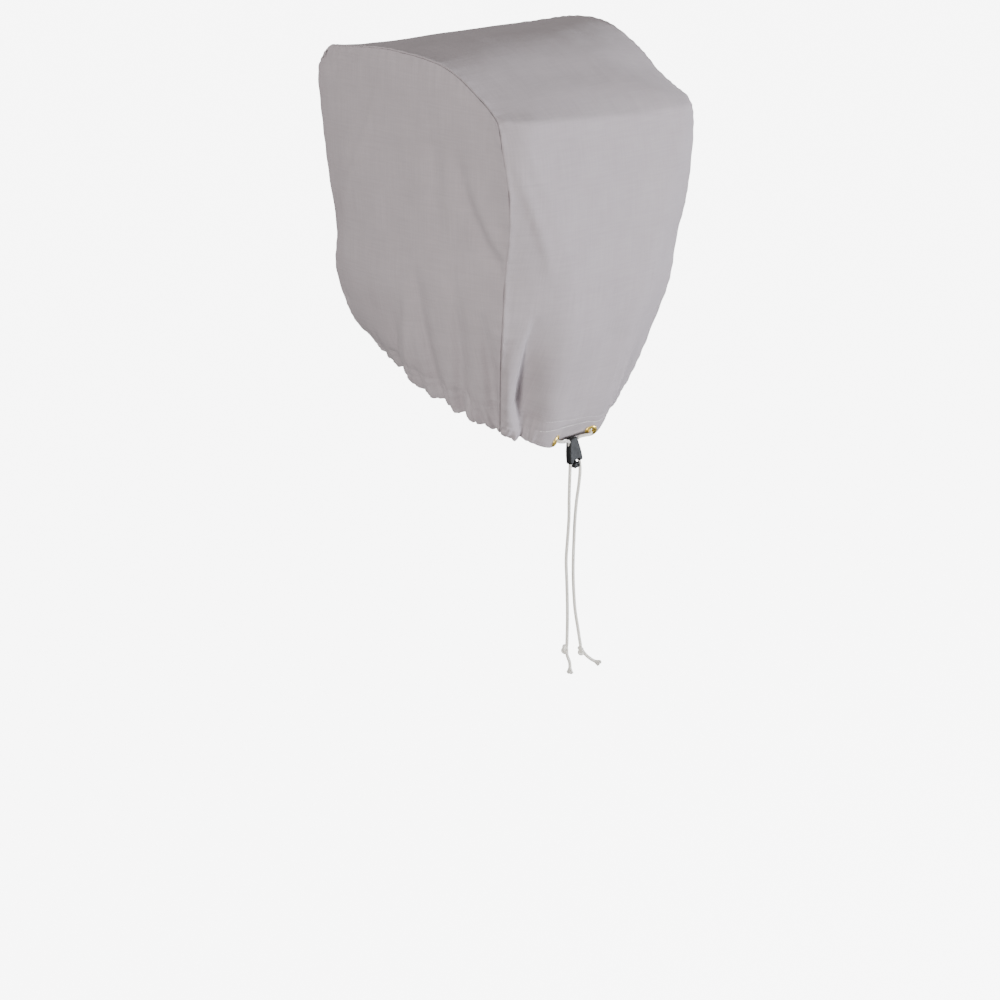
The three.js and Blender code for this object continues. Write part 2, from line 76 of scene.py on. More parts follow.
# The cloth's thickness and the gap between two panels at their seam.
CLOTH = 2.0
SEAM_GAP = 0.3
# How far out a side panel bellies, and how it starts below the top and ends at the hem.
BELLY = {"out": 12, "start": 1.6, "end": 4}
# The power of the curve from the flat middle of the centre panel to its seams.
EDGE_ROUND = 1.6
# The waves of the gathered hem, how far their pitch wanders, and the middle of the back, where the
# cloth is pulled smooth, with the distances over which the waves set in.
GATHER = {"pitch": 27, "depth": 2.4, "wander": 1.3, "wander_pitch": 97, "height": 60}
SMOOTH_BACK = {"middle": 22, "from": 84, "to": 106}
# The shallow hollow that the drawcord pulls into the back hem.
HOLLOW = {"x": 5, "floor": 22, "rim": 50, "deep": 10, "height": 46}

# Each section of the centre panel: the port seam's y and z and half width, the middle's y and z,
# the share of the width that is flat, and how much lower the starboard seam lies.
SECTIONS = np.array([
    (166, -488, 125, 187, -481, 0.3, 0),
    (177, -466, 138, 198, -460, 0.3, 0),
    (197, -440, 153, 217, -436, 0.3, 0),
    (206, -404, 166, 226, -402, 0.3, 0),
    (212, -352, 178, 232, -350, 0.3, 0),
    (205, -290, 181, 227, -290, 0.3, 0),
    (210, -200, 192, 230, -200, 0.3, 0),
    (217, -100, 199, 230, -102, 0.3, 2),
    (217, -48, 203, 225, -54, 0.3, 5),
    (203, -20, 206, 207, -27, 0.3, 8),
    (178, -13, 207, 182, -20, 0.3, 9),
    (140, -8, 206.5, 141, -12, 0.3, 5),
    (95, -2, 205, 95, -3, 0.3, 2),
    (48, 1.3, 203, 48, 2.6, 0.3, 1.5),
    (6, -0.7, 200.5, 6, 2, 0.3, 4),
    (-34, -8, 198, -35, -5, 0.3, 12),
    (-69, -23, 195, -71, -19, 0.35, 15),
    (-104, -44, 193, -107, -40, 0.4, 19),
    (-139, -68, 192, -145, -63, 0.5, 13),
    (-162, -90, 194, -174, -88, 0.7, 4),
    (-172, -120, 195, -186, -121, 0.8, 0),
    (-175, -180, 189.5, -194, -180, 0.7, 0),
    (-171, -245, 182.5, -197, -245, 0.58, 0),
    (-159, -300, 177.5, -196, -300, 0.46, 0),
    (-148, -370, 174.5, -188, -372, 0.38, 0),
    (-130, -435, 161, -172, -440, 0.34, 0),
    (-112, -498, 145, -148, -510, 0.32, 0),
    (-95, -546, 129, -123, -575, 0.3, 0),
    (-85, -567, 120, -114, -600, 0.3, 0),
])
FRONT_CORNER = 9
BACK_CORNER = 19
BACK_HEM = len(SECTIONS) - 1
SEAM_Y, SEAM_Z, HALF, MID_Y, MID_Z, FLAT, DROOP = SECTIONS.T
PORT_SEAM = np.column_stack([HALF, SEAM_Y, SEAM_Z])
STARBOARD_SEAM = np.column_stack([HALF, SEAM_Y, SEAM_Z - DROOP])
MIDDLE_LINE = np.column_stack([FLAT, MID_Y, MID_Z])

# How the sewn port seam strays from its table: the section number, then the stray in y and in z.
STRAY = np.array([
    (7.4, 0, 0), (8, -2, 0), (8.5, -6.5, -3.5), (9, -9, -4.5), (9.5, -4, 0), (10, 0, 2.5),
    (10.5, 0, 0.5), (11, 0, 0), (12.6, 0, -3.5), (13.4, 0, -6), (14.7, 0, -5), (15.6, 0, -1.5),
    (16.4, 0, 0), (18.65, 0, 0), (19, 3.4, 0), (19.5, 5, 0), (20, 5.5, 0), (20.7, 2, 0),
    (21.1, 0, 0), (22, 2.6, 0), (23, 3.4, 0), (24, 0, 0),
])

# How far each section number lies along the middle of the centre panel.
DENSE_SECTIONS = np.linspace(0, BACK_HEM, 1200)

# A side panel's hem, from the front seam to the back seam: out, y and z.
SIDE_HEM = np.array([
    (125, 166, -488),
    (141, 112, -498),
    (149, 60, -518),
    (148, 12, -535),
    (143, -28, -547),
    (133, -63, -558),
    (120, -85, -567),
])

# Folds: a face, the widths on the line's left and right, and the points of its line with the
# height at each, where a trough is negative. The line runs in y and z on a side, in x and z at
# the front and back, and in x and y on the top.
FOLDS = [
    ("port", 13, 13, [(-70, -120, 0), (-80, -160, -3), (-93, -210, -5.5), (-120, -264, -6.5),
                  (-144, -293, -5), (-157, -302, -2.5)]),
    ("port", 14, 14, [(-98, -150, 0), (-113, -200, 2.5), (-139, -252, 3), (-158, -275, 1.5)]),
    ("port", 16, 16, [(-28, -60, 0), (-30, -140, -2.5), (-32, -220, -2.5), (-30, -300, 0)]),
    ("port", 14, 14, [(-58, -80, 0), (-58, -150, 1.6), (-60, -220, 1.6), (-62, -290, 0)]),
    ("port", 8, 8, [(69, -30, 0), (97, -103, 2), (130, -174, 2.2), (167, -237, 1.8), (188, -272, 0)]),
    ("port", 24, 24, [(120, -60, 0), (150, -180, 3.2), (190, -330, 0)]),
    ("port", 45, 45, [(60, -60, 0), (45, -220, -4), (25, -400, -1)]),
    ("port", 9, 17, [(10, -315, 0), (9, -350, -4.5), (12, -410, -8), (10, -460, -10.5), (12, -510, -11),
                     (12, -560, -7)]),
    ("port", 9, 9, [(33, -340, 0), (38, -390, 3.2), (51, -445, 4.5), (68, -500, 3.6)]),
    ("port", 9, 9, [(62, -395, 0), (76, -435, -5.5), (92, -470, -6), (100, -510, -4)]),
    ("port", 9, 16, [(-62, -305, 0), (-64, -360, -4), (-58, -410, -7), (-52, -455, -9.5),
                     (-38, -500, -10), (-26, -535, -6.5)]),
    ("port", 8, 14, [(-112, -365, 0), (-108, -415, -6), (-103, -455, -9), (-98, -490, -9.5),
                     (-90, -525, -8), (-82, -560, -6)]),
    ("port", 6, 6, [(133, -436, 0), (136, -460, -4), (150, -488, -4)]),
    ("port", 6, 6, [(199, -382, 0), (195, -400, -2.5), (190, -416, 0)]),
    ("port", 8, 8, [(190, -62, 0), (171, -43, -2.6), (148, -30, -3.2), (125, -20, -1.5), (112, -16, 0)]),
    ("starboard", 14, 14, [(-76, -130, 0), (-96, -190, -4), (-126, -250, -6), (-152, -292, -3)]),
    ("starboard", 13, 13, [(-104, -140, 0), (-122, -200, 2.4), (-148, -262, 2)]),
    ("starboard", 12, 12, [(-36, -370, 0), (-40, -430, -4), (-46, -500, -7), (-48, -560, -6)]),
    ("starboard", 12, 12, [(30, -340, 0), (40, -420, -4), (50, -500, -6.5), (56, -545, -6)]),
    ("starboard", 9, 9, [(8, -380, 0), (6, -450, 3), (4, -520, 3)]),
    ("starboard", 10, 10, [(-112, -390, 0), (-104, -450, -5), (-94, -510, -7), (-84, -560, -6)]),
    ("starboard", 8, 8, [(92, -400, 0), (98, -450, -4), (110, -500, -4)]),
    ("starboard", 24, 24, [(110, -90, 0), (145, -220, 3.5), (178, -330, 0)]),
    ("starboard", 45, 45, [(40, -70, 0), (30, -230, -4), (15, -380, -1)]),
    ("back", 25, 5, [(-131, -365, 0), (-131, -410, -7.5), (-127, -450, -15), (-122, -490, -20),
                     (-115, -522, -22), (-99, -556, -17), (-88, -590, -9)]),
    ("back", 20, 20, [(-104, -370, 0), (-100, -430, -3), (-92, -490, -4.5), (-78, -540, -3), (-68, -575, 0)]),
    ("back", 9, 10, [(-152, -395, 0), (-148, -435, 2.5), (-141, -480, 4.5), (-133, -512, 5),
                     (-117, -548, 3.5), (-106, -580, 2)]),
    ("back", 10, 8, [(-186, -128, 0), (-178, -150, 1.6), (-163, -190, 2.8), (-144, -236, 3),
                     (-124, -284, 2), (-112, -330, 0)]),
    ("back", 13, 13, [(106, -430, 0), (102, -480, -4), (97, -540, -7), (92, -600, -7)]),
    ("back", 9, 9, [(84, -450, 0), (80, -500, 2.5), (77, -550, 2.5), (75, -590, 0)]),
    ("back", 40, 40, [(60, -330, 0), (42, -430, -4), (25, -520, 0)]),
    ("front", 16, 16, [(-60, -320, 0), (-66, -400, -4), (-74, -490, -6)]),
    ("front", 9, 9, [(-38, -350, 0), (-42, -420, 2.5), (-46, -480, 2.5)]),
    ("front", 14, 14, [(50, -340, 0), (56, -420, -4), (62, -490, -6)]),
    ("front", 40, 40, [(0, -120, 0), (6, -250, -5), (12, -400, 0)]),
    ("top", 40, 40, [(-60, 150, 0), (10, 70, -3), (90, -20, 0)]),
]

# The bend from the top to the back: its section number at shares of the width from port to
# starboard, the half width and radius of the wide bend in the tables, and those of the tight one.
BEND_SHARES = (-1, -0.88, -0.66, 0, 0.33, 1)
BEND_SECTIONS = (18.65, 18.93, 19.09, 19.37, 19.53, 19.5)
BEND = {"half": 26.0, "radius": 64.0, "tight_half": 3.7, "tight_radius": 10.0}

CORD_ROUTES = {
    "port": [
        (-34.1, -111.8, -587.9), (-31.3, -114.7, -589.3), (-28, -118.8, -590.8),
        (-21.5, -121.5, -591.6), (-13.5, -119.8, -592.4), (-7, -116.8, -596),
        (-3.8, -115, -603), (-2.6, -115, -616), (-1.9, -115, -631), (-2.6, -115, -650),
        (-3.6, -115, -684), (-3.9, -115, -718), (-5.3, -113.7, -751), (-6.6, -112.5, -783),
        (-5.8, -113.3, -818), (-5, -114.1, -855), (-4.8, -114.2, -888), (-5.2, -113.8, -920.7),
    ],
    "starboard": [
        (43.9, -110.8, -587.8), (41.2, -113.9, -589.2), (38.5, -118.3, -590.6),
        (32, -121.2, -591), (23, -119.8, -590.8), (14.5, -116.6, -592.4), (9.8, -115, -597.6),
        (10, -115, -605), (13.2, -115, -615), (17, -115, -628), (18.4, -116, -643),
        (17, -115, -667), (14.6, -112.8, -693), (13, -111.2, -723), (12, -110.4, -756),
        (11.4, -109.8, -788), (11.6, -110, -820), (13.8, -111.9, -867), (17, -115, -897),
        (20.2, -118.2, -926.9),
    ],
}
TAIL_ROUTES = {
    "port": [(-5.5, -113.5, -927), (-5, -114, -936), (-2, -117, -950), (-1.7, -117.2, -963)],
    "starboard": [(20.8, -118.8, -934), (25, -122.6, -940), (32, -129.4, -949), (39.5, -136.4, -954.5)],
}


# Curves and small numeric helpers
def lerp(a, b, share):
    return a + (b - a) * share


def smooth(x):
    x = np.clip(x, 0, 1)
    return x * x * (3 - 2 * x)


def unit(vectors):
    return vectors / np.linalg.norm(vectors, axis=-1, keepdims=True)


def with_ends(points):
    """The points with one more beyond each end."""
    return np.vstack([2 * points[0] - points[1], points, 2 * points[-1] - points[-2]])


def hermite(here, there, leave, arrive, t):
    """A cubic curve between two points, with the slopes at which it leaves and arrives."""
    square = 3 * (there - here) - 2 * leave - arrive
    cube = 2 * (here - there) + leave + arrive
    return here + t * leave + t ** 2 * square + t ** 3 * cube


def spline(points, share):
    """Points on a uniform smooth curve through rows, at shares of the count of rows."""
    points = np.asarray(points, float)
    last = len(points) - 1
    place = np.clip(share, 0, 1) * last
    row = np.minimum(place.astype(int), last - 1)
    longer = with_ends(points)
    before, here, there, after = (longer[row + k] for k in range(4))
    return hermite(here, there, (there - before) / 2, (after - here) / 2, (place - row)[:, None])


def lengths_along(line):
    """How far each point lies along a line."""
    return np.append(0, np.cumsum(np.linalg.norm(np.diff(line, axis=0), axis=1)))


def points_at(line, places):
    """Points of a line at places along it."""
    along = lengths_along(line)
    return np.column_stack([np.interp(places, along, line[:, k]) for k in range(3)])


def through(points, step):
    """A centripetal smooth curve through points, as points a step apart."""
    longer = with_ends(np.asarray(points, float))
    t = np.linspace(0, 1, 24, endpoint=False)[:, None]
    runs = []
    for before, here, there, after in zip(longer, longer[1:], longer[2:], longer[3:]):
        d0, d1, d2 = (np.linalg.norm(q - p) ** 0.5 for p, q in
                      ((before, here), (here, there), (there, after)))
        leave = ((here - before) / d0 - (there - before) / (d0 + d1) + (there - here) / d1) * d1
        arrive = ((there - here) / d1 - (after - here) / (d1 + d2) + (after - there) / d2) * d1
        runs.append(hermite(here, there, leave, arrive, t))
    line = np.vstack([*runs, longer[-2:-1]])
    whole = lengths_along(line)[-1]
    return points_at(line, np.linspace(0, whole, int(round(whole / step)) + 1))


DENSE_LENGTHS = lengths_along(spline(MIDDLE_LINE, DENSE_SECTIONS / BACK_HEM)[:, 1:])


def graded(length, fine, coarse, reach):
    """Shares of a length, a fine step apart near both ends and a coarse step in the middle."""
    place = np.linspace(0, length, 4000)
    near = np.minimum(place, length - place)
    step = lerp(fine, coarse, smooth(near / reach))
    count = np.cumsum(1 / step)
    even = np.linspace(count[0], count[-1], int(round((count[-1] - count[0]) * place[1])) + 1)
    return np.interp(even, count, place) / length


def bump(away, wide):
    """A smooth bump: 1 at its middle, and next to nothing at twice its width."""
    return np.exp(-((away / wide) ** 2))


def edge_drop(distance, radius):
    """How far a surface drops near an edge that is rounded to a radius."""
    close = np.clip(1 - distance / radius, 0, 1)
    return radius * (1 - np.sqrt(1 - close ** 2))


def wander(points, size):
    """Smooth noise between -1 and 1 at points, with swells of a size in millimetres."""
    return np.array([noise.noise(Vector(p) / size) for p in points])


def unevenness(points):
    return sum(height * wander(points, size) for height, size in UNEVEN)


# The panels' surfaces
# The steps in a panel's two parameters over which its normals are taken.
CENTRE_STEP = (0.12, 0.04)
SIDE_STEP = (0.03, 0.03)
# The heights and sizes of the swells in cloth that nothing pulls taut, and how far apart the two
# sides' swells are taken, so that they differ.
UNEVEN = ((1.1, 70), (0.4, 24))
SIDES_APART = 300


def seam_at(section, hand):
    share = section / BACK_HEM
    port = spline(PORT_SEAM, share)
    for axis in (1, 2):
        port[:, axis] += np.interp(section, STRAY[:, 0], STRAY[:, axis])
    starboard = spline(STARBOARD_SEAM, share)
    return np.where((hand < 0)[:, None], port, starboard)


def centre_base(section, across):
    seam = seam_at(section, across)
    middle = spline(MIDDLE_LINE, section / BACK_HEM)
    past = np.maximum(0, np.abs(across) - middle[:, 0]) / (1 - middle[:, 0])
    rise = 1 - past ** EDGE_ROUND
    return np.column_stack([
        across * seam[:, 0],
        lerp(seam[:, 1], middle[:, 1], rise),
        lerp(seam[:, 2], middle[:, 2], rise),
    ])


def side_base(hand, back, down):
    """A side panel before its folds. Its x is the distance out from the middle of the hood."""
    hands = np.full_like(back, hand)

    def seam(section):
        return seam_at(section + 0 * back, hands)

    top = seam(lerp(FRONT_CORNER, BACK_CORNER, back))
    hem = spline(SIDE_HEM, back)
    front = seam(FRONT_CORNER * (1 - down))
    rear = seam(lerp(BACK_CORNER, BACK_HEM, down))
    u = back[:, None]
    v = down[:, None]
    point = top * (1 - v) + hem * v + front * (1 - u) + rear * u
    point -= seam(FRONT_CORNER) * (1 - u) * (1 - v) + seam(BACK_CORNER) * u * (1 - v)
    point -= seam(0) * (1 - u) * v + seam(BACK_HEM) * u * v
    belly = BELLY["out"] * 4 * back * (1 - back)
    point[:, 0] += belly * smooth(down * BELLY["start"]) * (1 - down ** BELLY["end"])
    return point


def normal_of(surface, u, v, limits, step):
    """Outward normals of a surface of two parameters, kept a little inside its limits."""
    a = np.clip(u, limits[0] + step[0], limits[1] - step[0])
    b = np.clip(v, limits[2] + step[1], limits[3] - step[1])
    along_u = surface(a + step[0], b) - surface(a - step[0], b)
    along_v = surface(a, b + step[1]) - surface(a, b - step[1])
    return unit(np.cross(along_u, along_v))


def centre_normal(section, across):
    return normal_of(centre_base, section, across, (0, BACK_HEM, -1, 1), CENTRE_STEP)


def side_normal(hand, back, down):
    """Outward normals of a side panel, in the hood's own frame."""
    out = normal_of(lambda u, v: side_base(hand, u, v), back, down, (0, 1, 0, 1), SIDE_STEP)
    out[:, 0] *= hand
    return out


def side_normal_at_seam(section, hand):
    """The side panel's normals along its seam, by the section number."""
    front = section <= FRONT_CORNER
    rear = section >= BACK_CORNER
    back = np.clip((section - FRONT_CORNER) / (BACK_CORNER - FRONT_CORNER), 0, 1)
    down = np.where(front, 1 - section / FRONT_CORNER, 0)
    down = np.where(rear, (section - BACK_CORNER) / (BACK_HEM - BACK_CORNER), down)
    return side_normal(hand, back, np.clip(down, 0, 1))


def bisector(section, hand):
    """The direction out of the seam, halfway between the two panels that meet there."""
    centre = centre_normal(section, np.full_like(section, hand))
    return unit(centre + side_normal_at_seam(section, hand))


def fold_height(face, a, b):
    """The height of all of a face's folds, at places in its two coordinates."""
    height = np.zeros_like(a)
    for name, wide_left, wide_right, line in FOLDS:
        if name != face:
            continue
        nearest = np.full_like(a, np.inf)
        deep = np.zeros_like(a)
        wide = np.ones_like(a)
        for (a1, b1, deep1), (a2, b2, deep2) in zip(line, line[1:]):
            run_a = a2 - a1
            run_b = b2 - b1
            share = np.clip(((a - a1) * run_a + (b - b1) * run_b) / (run_a ** 2 + run_b ** 2), 0, 1)
            away = np.hypot(a - a1 - share * run_a, b - b1 - share * run_b)
            on_left = run_a * (b - b1) > run_b * (a - a1)
            wide = np.where(away < nearest, np.where(on_left, wide_left, wide_right), wide)
            deep = np.where(away < nearest, lerp(deep1, deep2, share), deep)
            nearest = np.minimum(away, nearest)
        height += deep * bump(nearest, wide)
    return height


def bend_height(section, across):
    """Tightens the bend between the top and the back."""
    there = np.interp(across, BEND_SHARES, BEND_SECTIONS)
    away = np.abs(np.interp(section, DENSE_SECTIONS, DENSE_LENGTHS)
                  - np.interp(there, DENSE_SECTIONS, DENSE_LENGTHS))
    wide = np.maximum(BEND["half"] - away, 0) ** 2 / (2 * BEND["radius"])
    tight = np.maximum(BEND["tight_half"] - away, 0) ** 2 / (2 * BEND["tight_radius"])
    return wide - tight


def gather_height(along, above):
    phase = 2 * np.pi * along / GATHER["pitch"]
    drift = GATHER["wander"] * np.sin(2 * np.pi * along / GATHER["wander_pitch"])
    return GATHER["depth"] * np.sin(phase + drift) * smooth(1 - above / GATHER["height"])


def hollow_height(x, above):
    away = np.abs(x - HOLLOW["x"])
    floor = smooth((HOLLOW["rim"] - away) / (HOLLOW["rim"] - HOLLOW["floor"]))
    return -HOLLOW["deep"] * floor * smooth(1 - above / HOLLOW["height"])


# What the solids leave to the cloth: the hem's roll, puckers, seams and unevenness.
# The hem: its rolled edge, the casing over the cord with its height and the band in which it thins
# out, the ridge of the cord, and the dents along the sewn rows.
HEM = {"roll": 2.2, "tuck": 1.5, "thick": 5.2, "casing": 15, "band": 6, "ridge": 0.5,
       "ridge_at": 10, "ridge_wide": 7, "groove": 0.7, "groove_wide": 2.2}
# The casing's small puckers: their pitch and how it drifts, how they swell and fade along the hem,
# their depth, middle and width above the edge, and where the taut part of the back begins.
CRIMP = {"pitch": 7.5, "drift": 2.1, "uneven_pitch": 41, "swell": 57, "swell_phase": 0.8,
         "depth": 1.4, "middle": 13, "wide": 9, "taut_from": -96, "taut_over": 12}
# The casing's two sewn rows: how far above the hem they run, at places across the back.
ROW_PLACES = (-85, -66, -45, -11, 25, 54, 75, 100)
ROWS = {
    "lower": (25, 28, 34, 33, 32, 26, 24, 24),
    "upper": (40, 46, 50, 45, 43, 36, 34, 36),
}
# The narrow pleats. Per millimetre of height they widen and lean a little. Between them the cloth
# puffs out, and fine ripples run over both.
PLEAT = {"pitch": 18.5, "sharp": 2.3, "deep": 3.0, "low": 26.0, "high": 62.0, "widens": 0.09,
         "leans": 0.06, "fades_over": 20, "faintest": 0.55, "puff": 0.8, "puff_height": 40}
RIPPLE = {"depth": 0.35, "pitch": 6.3, "drift": 2, "drift_length": 23, "height": 30}
# The seam: its groove, the centre panel's raised edge with the radius of its fold, the puckers
# beside it with their beat by section number, and the band where the panels' normals blend.
SEAM = {"groove": 2.6, "groove_wide": 1.0, "edge": 1.1, "edge_wide": 5.5, "fold": 0.9,
        "pucker": 0.8, "pucker_wide": 13, "pucker_from": 3, "beat": 13.7, "drift": 1.9,
        "drift_beat": 3.1, "blend": 7.0}
# The shares of a panel over which its folds fade out, so that they meet the next panel's edge.
CENTRE_FADE = 0.06
SIDE_FADE = 0.05
TOP_FADE = 0.12
# A height above the hem that nothing near the hem reaches.
FAR = 999.0
# How open the seam's groove is, by the section number. It is tight along the top and at the
# gathers, and lies shut down the back.
GROOVE_SECTIONS = (0, 9, 10, 14, 19, 19.8, 20.8, 21.05, 21.3, 21.5, 23.2, 23.5, 24, 25, 28)
GROOVE_OPEN = (0.9, 0.7, 0.4, 1.0, 1.1, 0.7, 0.25, 0.9, 0.9, 0.25, 0.3, 0.8, 0.45, 1.0, 1.1)


def pleat_height(along, above):
    """Narrow pleats that the drawcord pulls into the casing, each running up a way of its own."""
    place = along / PLEAT["pitch"]
    place = place + 0.22 * np.sin(place * 1.93) + 0.13 * np.sin(place * 4.71 + 1.0)
    number = np.floor(place)
    away = (place - number - 0.5) * PLEAT["pitch"]
    # A number between 0 and 1 for each pleat, as if drawn by lot, but the same in every run.
    chance = np.modf(np.abs(np.sin(number * 12.9898) * 437.58))[0]
    reach = lerp(PLEAT["low"], PLEAT["high"], chance)
    away = away + PLEAT["leans"] * (chance - 0.5) * above
    crease = bump(away, PLEAT["sharp"] + PLEAT["widens"] * above)
    strength = smooth((reach - above) / PLEAT["fades_over"]) * lerp(PLEAT["faintest"], 1, chance)
    puff = PLEAT["puff"] * np.cos(2 * np.pi * away / PLEAT["pitch"])
    puff = puff * smooth(1 - above / PLEAT["puff_height"])
    drift = RIPPLE["drift"] * np.sin(along / RIPPLE["drift_length"])
    ripple = RIPPLE["depth"] * np.sin(2 * np.pi * along / RIPPLE["pitch"] + drift)
    ripple = ripple * smooth(1 - above / RIPPLE["height"])
    return ripple - puff - PLEAT["deep"] * crease * strength


def row_above(row, x, at_back):
    """How far above the hem a sewn row runs."""
    return np.where(at_back, np.interp(x, ROW_PLACES, ROWS[row]), ROWS[row][0])


def crimp_height(above, along, at_back):
    """Small uneven puckers of the casing, with none where the back is pulled taut."""
    turn = 2 * math.pi * along
    drift = CRIMP["drift"] * np.sin(turn / CRIMP["uneven_pitch"])
    ripple = np.sin(turn / CRIMP["pitch"] + drift)
    uneven = 0.55 + 0.45 * np.sin(turn / CRIMP["swell"] + CRIMP["swell_phase"])
    taut = at_back * smooth((along - CRIMP["taut_from"]) / CRIMP["taut_over"])
    return CRIMP["depth"] * ripple * uneven * (1 - taut) * bump(above - CRIMP["middle"], CRIMP["wide"])


def hem_profile(above, x, at_back):
    """How far the outer face lies in or out near the hem: rolled edge, ridge, puckers and rows."""
    height = crimp_height(above, x, at_back) - edge_drop(above, HEM["roll"])
    for row in ROWS:
        height -= HEM["groove"] * bump(above - row_above(row, x, at_back), HEM["groove_wide"])
    return height + HEM["ridge"] * bump(above - HEM["ridge_at"], HEM["ridge_wide"])


def thickness(above):
    """The casing is thick over its cord, has a rolled edge, and meets the plain cloth above."""
    casing = lerp(HEM["thick"], CLOTH, smooth((above - HEM["casing"]) / HEM["band"]))
    return casing - HEM["tuck"] * edge_drop(above, HEM["roll"])


def groove_at(distance, section):
    """The dark gap between the two panels."""
    opened = np.interp(section, GROOVE_SECTIONS, GROOVE_OPEN)
    return -SEAM["groove"] * opened * bump(distance, SEAM["groove_wide"])


def pucker_at(distance, section, hand):
    """The puckers that the thread draws into the cloth beside the seam."""
    drift = SEAM["drift"] * np.sin(section * SEAM["drift_beat"] + hand)
    beat = np.sin(section * SEAM["beat"] + drift)
    fade = np.exp(-distance / SEAM["pucker_wide"]) * smooth(distance / SEAM["pucker_from"])
    return SEAM["pucker"] * beat * fade


def folded_edge(distance):
    """The centre panel's edge is folded under, so it stands a little proud of the side panel."""
    proud = SEAM["edge"] * bump(distance, SEAM["edge_wide"])
    return proud - edge_drop(distance, SEAM["fold"])


def skins(base, way, out, height, above):
    """Outer and inner points: a height off the base, and the cloth's thickness apart."""
    outer = base + way * height[:, None]
    deep = thickness(above) / np.sum(way * out, axis=1)
    return outer, outer - way * deep[:, None]


def centre_faces(section, across):
    """The centre panel's outer and inner points, in millimetres."""
    base = centre_base(section, across)
    out = centre_normal(section, across)
    hand = np.where(across < 0, -1.0, 1.0)
    at_front = section < FRONT_CORNER
    at_back = section > BACK_CORNER
    x = base[:, 0]
    z = base[:, 2]
    hem = centre_base(np.where(at_front, 0.0, BACK_HEM), across)
    above = np.where(at_front | at_back, np.linalg.norm(base - hem, axis=1), FAR)
    height = np.where(at_front, fold_height("front", x, z), 0)
    height = np.where(at_back, fold_height("back", x, z), height)
    height = np.where(at_front | at_back, height, fold_height("top", x, base[:, 1]))
    span = SMOOTH_BACK["to"] - SMOOTH_BACK["from"]
    gathered = smooth((np.abs(x - SMOOTH_BACK["middle"]) - SMOOTH_BACK["from"]) / span)
    gathered = np.where(at_back, gathered, 1.0)
    height += gathered * (gather_height(x, above) + pleat_height(x, above))
    height += unevenness(base) + bend_height(section, across)
    height *= smooth((1 - np.abs(across)) / CENTRE_FADE)
    height += np.where(at_back, hollow_height(x, above), 0)
    distance = (1 - np.abs(across)) * seam_at(section, across)[:, 0]
    height += groove_at(distance, section) + pucker_at(distance, section, hand)
    height += folded_edge(distance) + hem_profile(above, x, at_back)
    turn = np.zeros_like(base)
    for side in (-1.0, 1.0):
        mine = hand == side
        turn[mine] = bisector(section[mine], side)
    own = smooth(distance / SEAM["blend"])[:, None]
    outer, inner = skins(base, unit(lerp(turn, out, own)), out, height, above)
    inward = (SEAM_GAP / 2) * (1 - own) * np.column_stack([-hand, 0 * x, 0 * x])
    return outer + inward, inner + inward


def side_faces(hand, back, down):
    """A side panel's outer and inner points, in millimetres."""
    base = side_base(hand, back, down)
    out = side_normal(hand, back, down)
    hem = side_base(hand, back, np.ones_like(down))
    above = np.linalg.norm(base - hem, axis=1)
    face = "port" if hand < 0 else "starboard"
    y = base[:, 1]
    height = fold_height(face, y, base[:, 2]) + gather_height(y, above) + pleat_height(y, above)
    height += unevenness(base + SIDES_APART * hand)
    height *= smooth(np.minimum(back, 1 - back) / SIDE_FADE) * smooth(down / TOP_FADE)
    edges = [
        (side_base(hand, 0 * back, down), FRONT_CORNER * (1 - down)),
        (side_base(hand, back, 0 * down), lerp(FRONT_CORNER, BACK_CORNER, back)),
        (side_base(hand, 0 * back + 1, down), lerp(BACK_CORNER, BACK_HEM, down)),
    ]
    away = np.stack([np.linalg.norm(base - edge, axis=1) for edge, _ in edges])
    nearest = away.argmin(axis=0)
    distance = away.min(axis=0)
    section = np.choose(nearest, [number for _, number in edges])
    height += groove_at(distance, section) + pucker_at(distance, section, hand)
    height += hem_profile(above, y, np.zeros_like(y, bool))
    own = smooth(distance / SEAM["blend"])[:, None]
    way = unit(lerp(bisector(section, hand), out, own))
    base[:, 0] *= hand
    return skins(base, way, out, height, above)


# Mesh helpers
def shaped(name, bm):
    """Makes a mesh of a bmesh, which it frees, and shades its faces smoothly."""
    mesh = bpy.data.meshes.new(name)
    bm.to_mesh(mesh)
    bm.free()
    mesh.polygons.foreach_set("use_smooth", [True] * len(mesh.polygons))
    return mesh


def finished(name, bm, material, body="hood", stands_for=()):
    """Makes an object of a mesh in metres, which rides on a body."""
    mesh = shaped(name, bm)
    mesh.materials.append(material)
    piece = new_object(name, mesh)
    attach(piece, body)
    if stands_for:
        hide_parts(*stands_for)
    return piece


def grid_of(columns, rows):
    """A grid of columns by rows, and each vertex's column and row number."""
    bm = bmesh.new()
    bmesh.ops.create_grid(bm, x_segments=columns - 1, y_segments=rows - 1, size=1)
    bm.verts.ensure_lookup_table()
    number = np.arange(columns * rows)
    return bm, number % columns, number // columns


def place_vertices(bm, verts, points):
    for vert, point in zip(verts, points):
        vert.co = point


def lay_uv(bm, places):
    """Writes a flat place in metres for each vertex into the mesh's cloth map."""
    layer = bm.loops.layers.uv.new("cloth")
    for face in bm.faces:
        for loop in face.loops:
            loop[layer].uv = places[loop.vert.index]


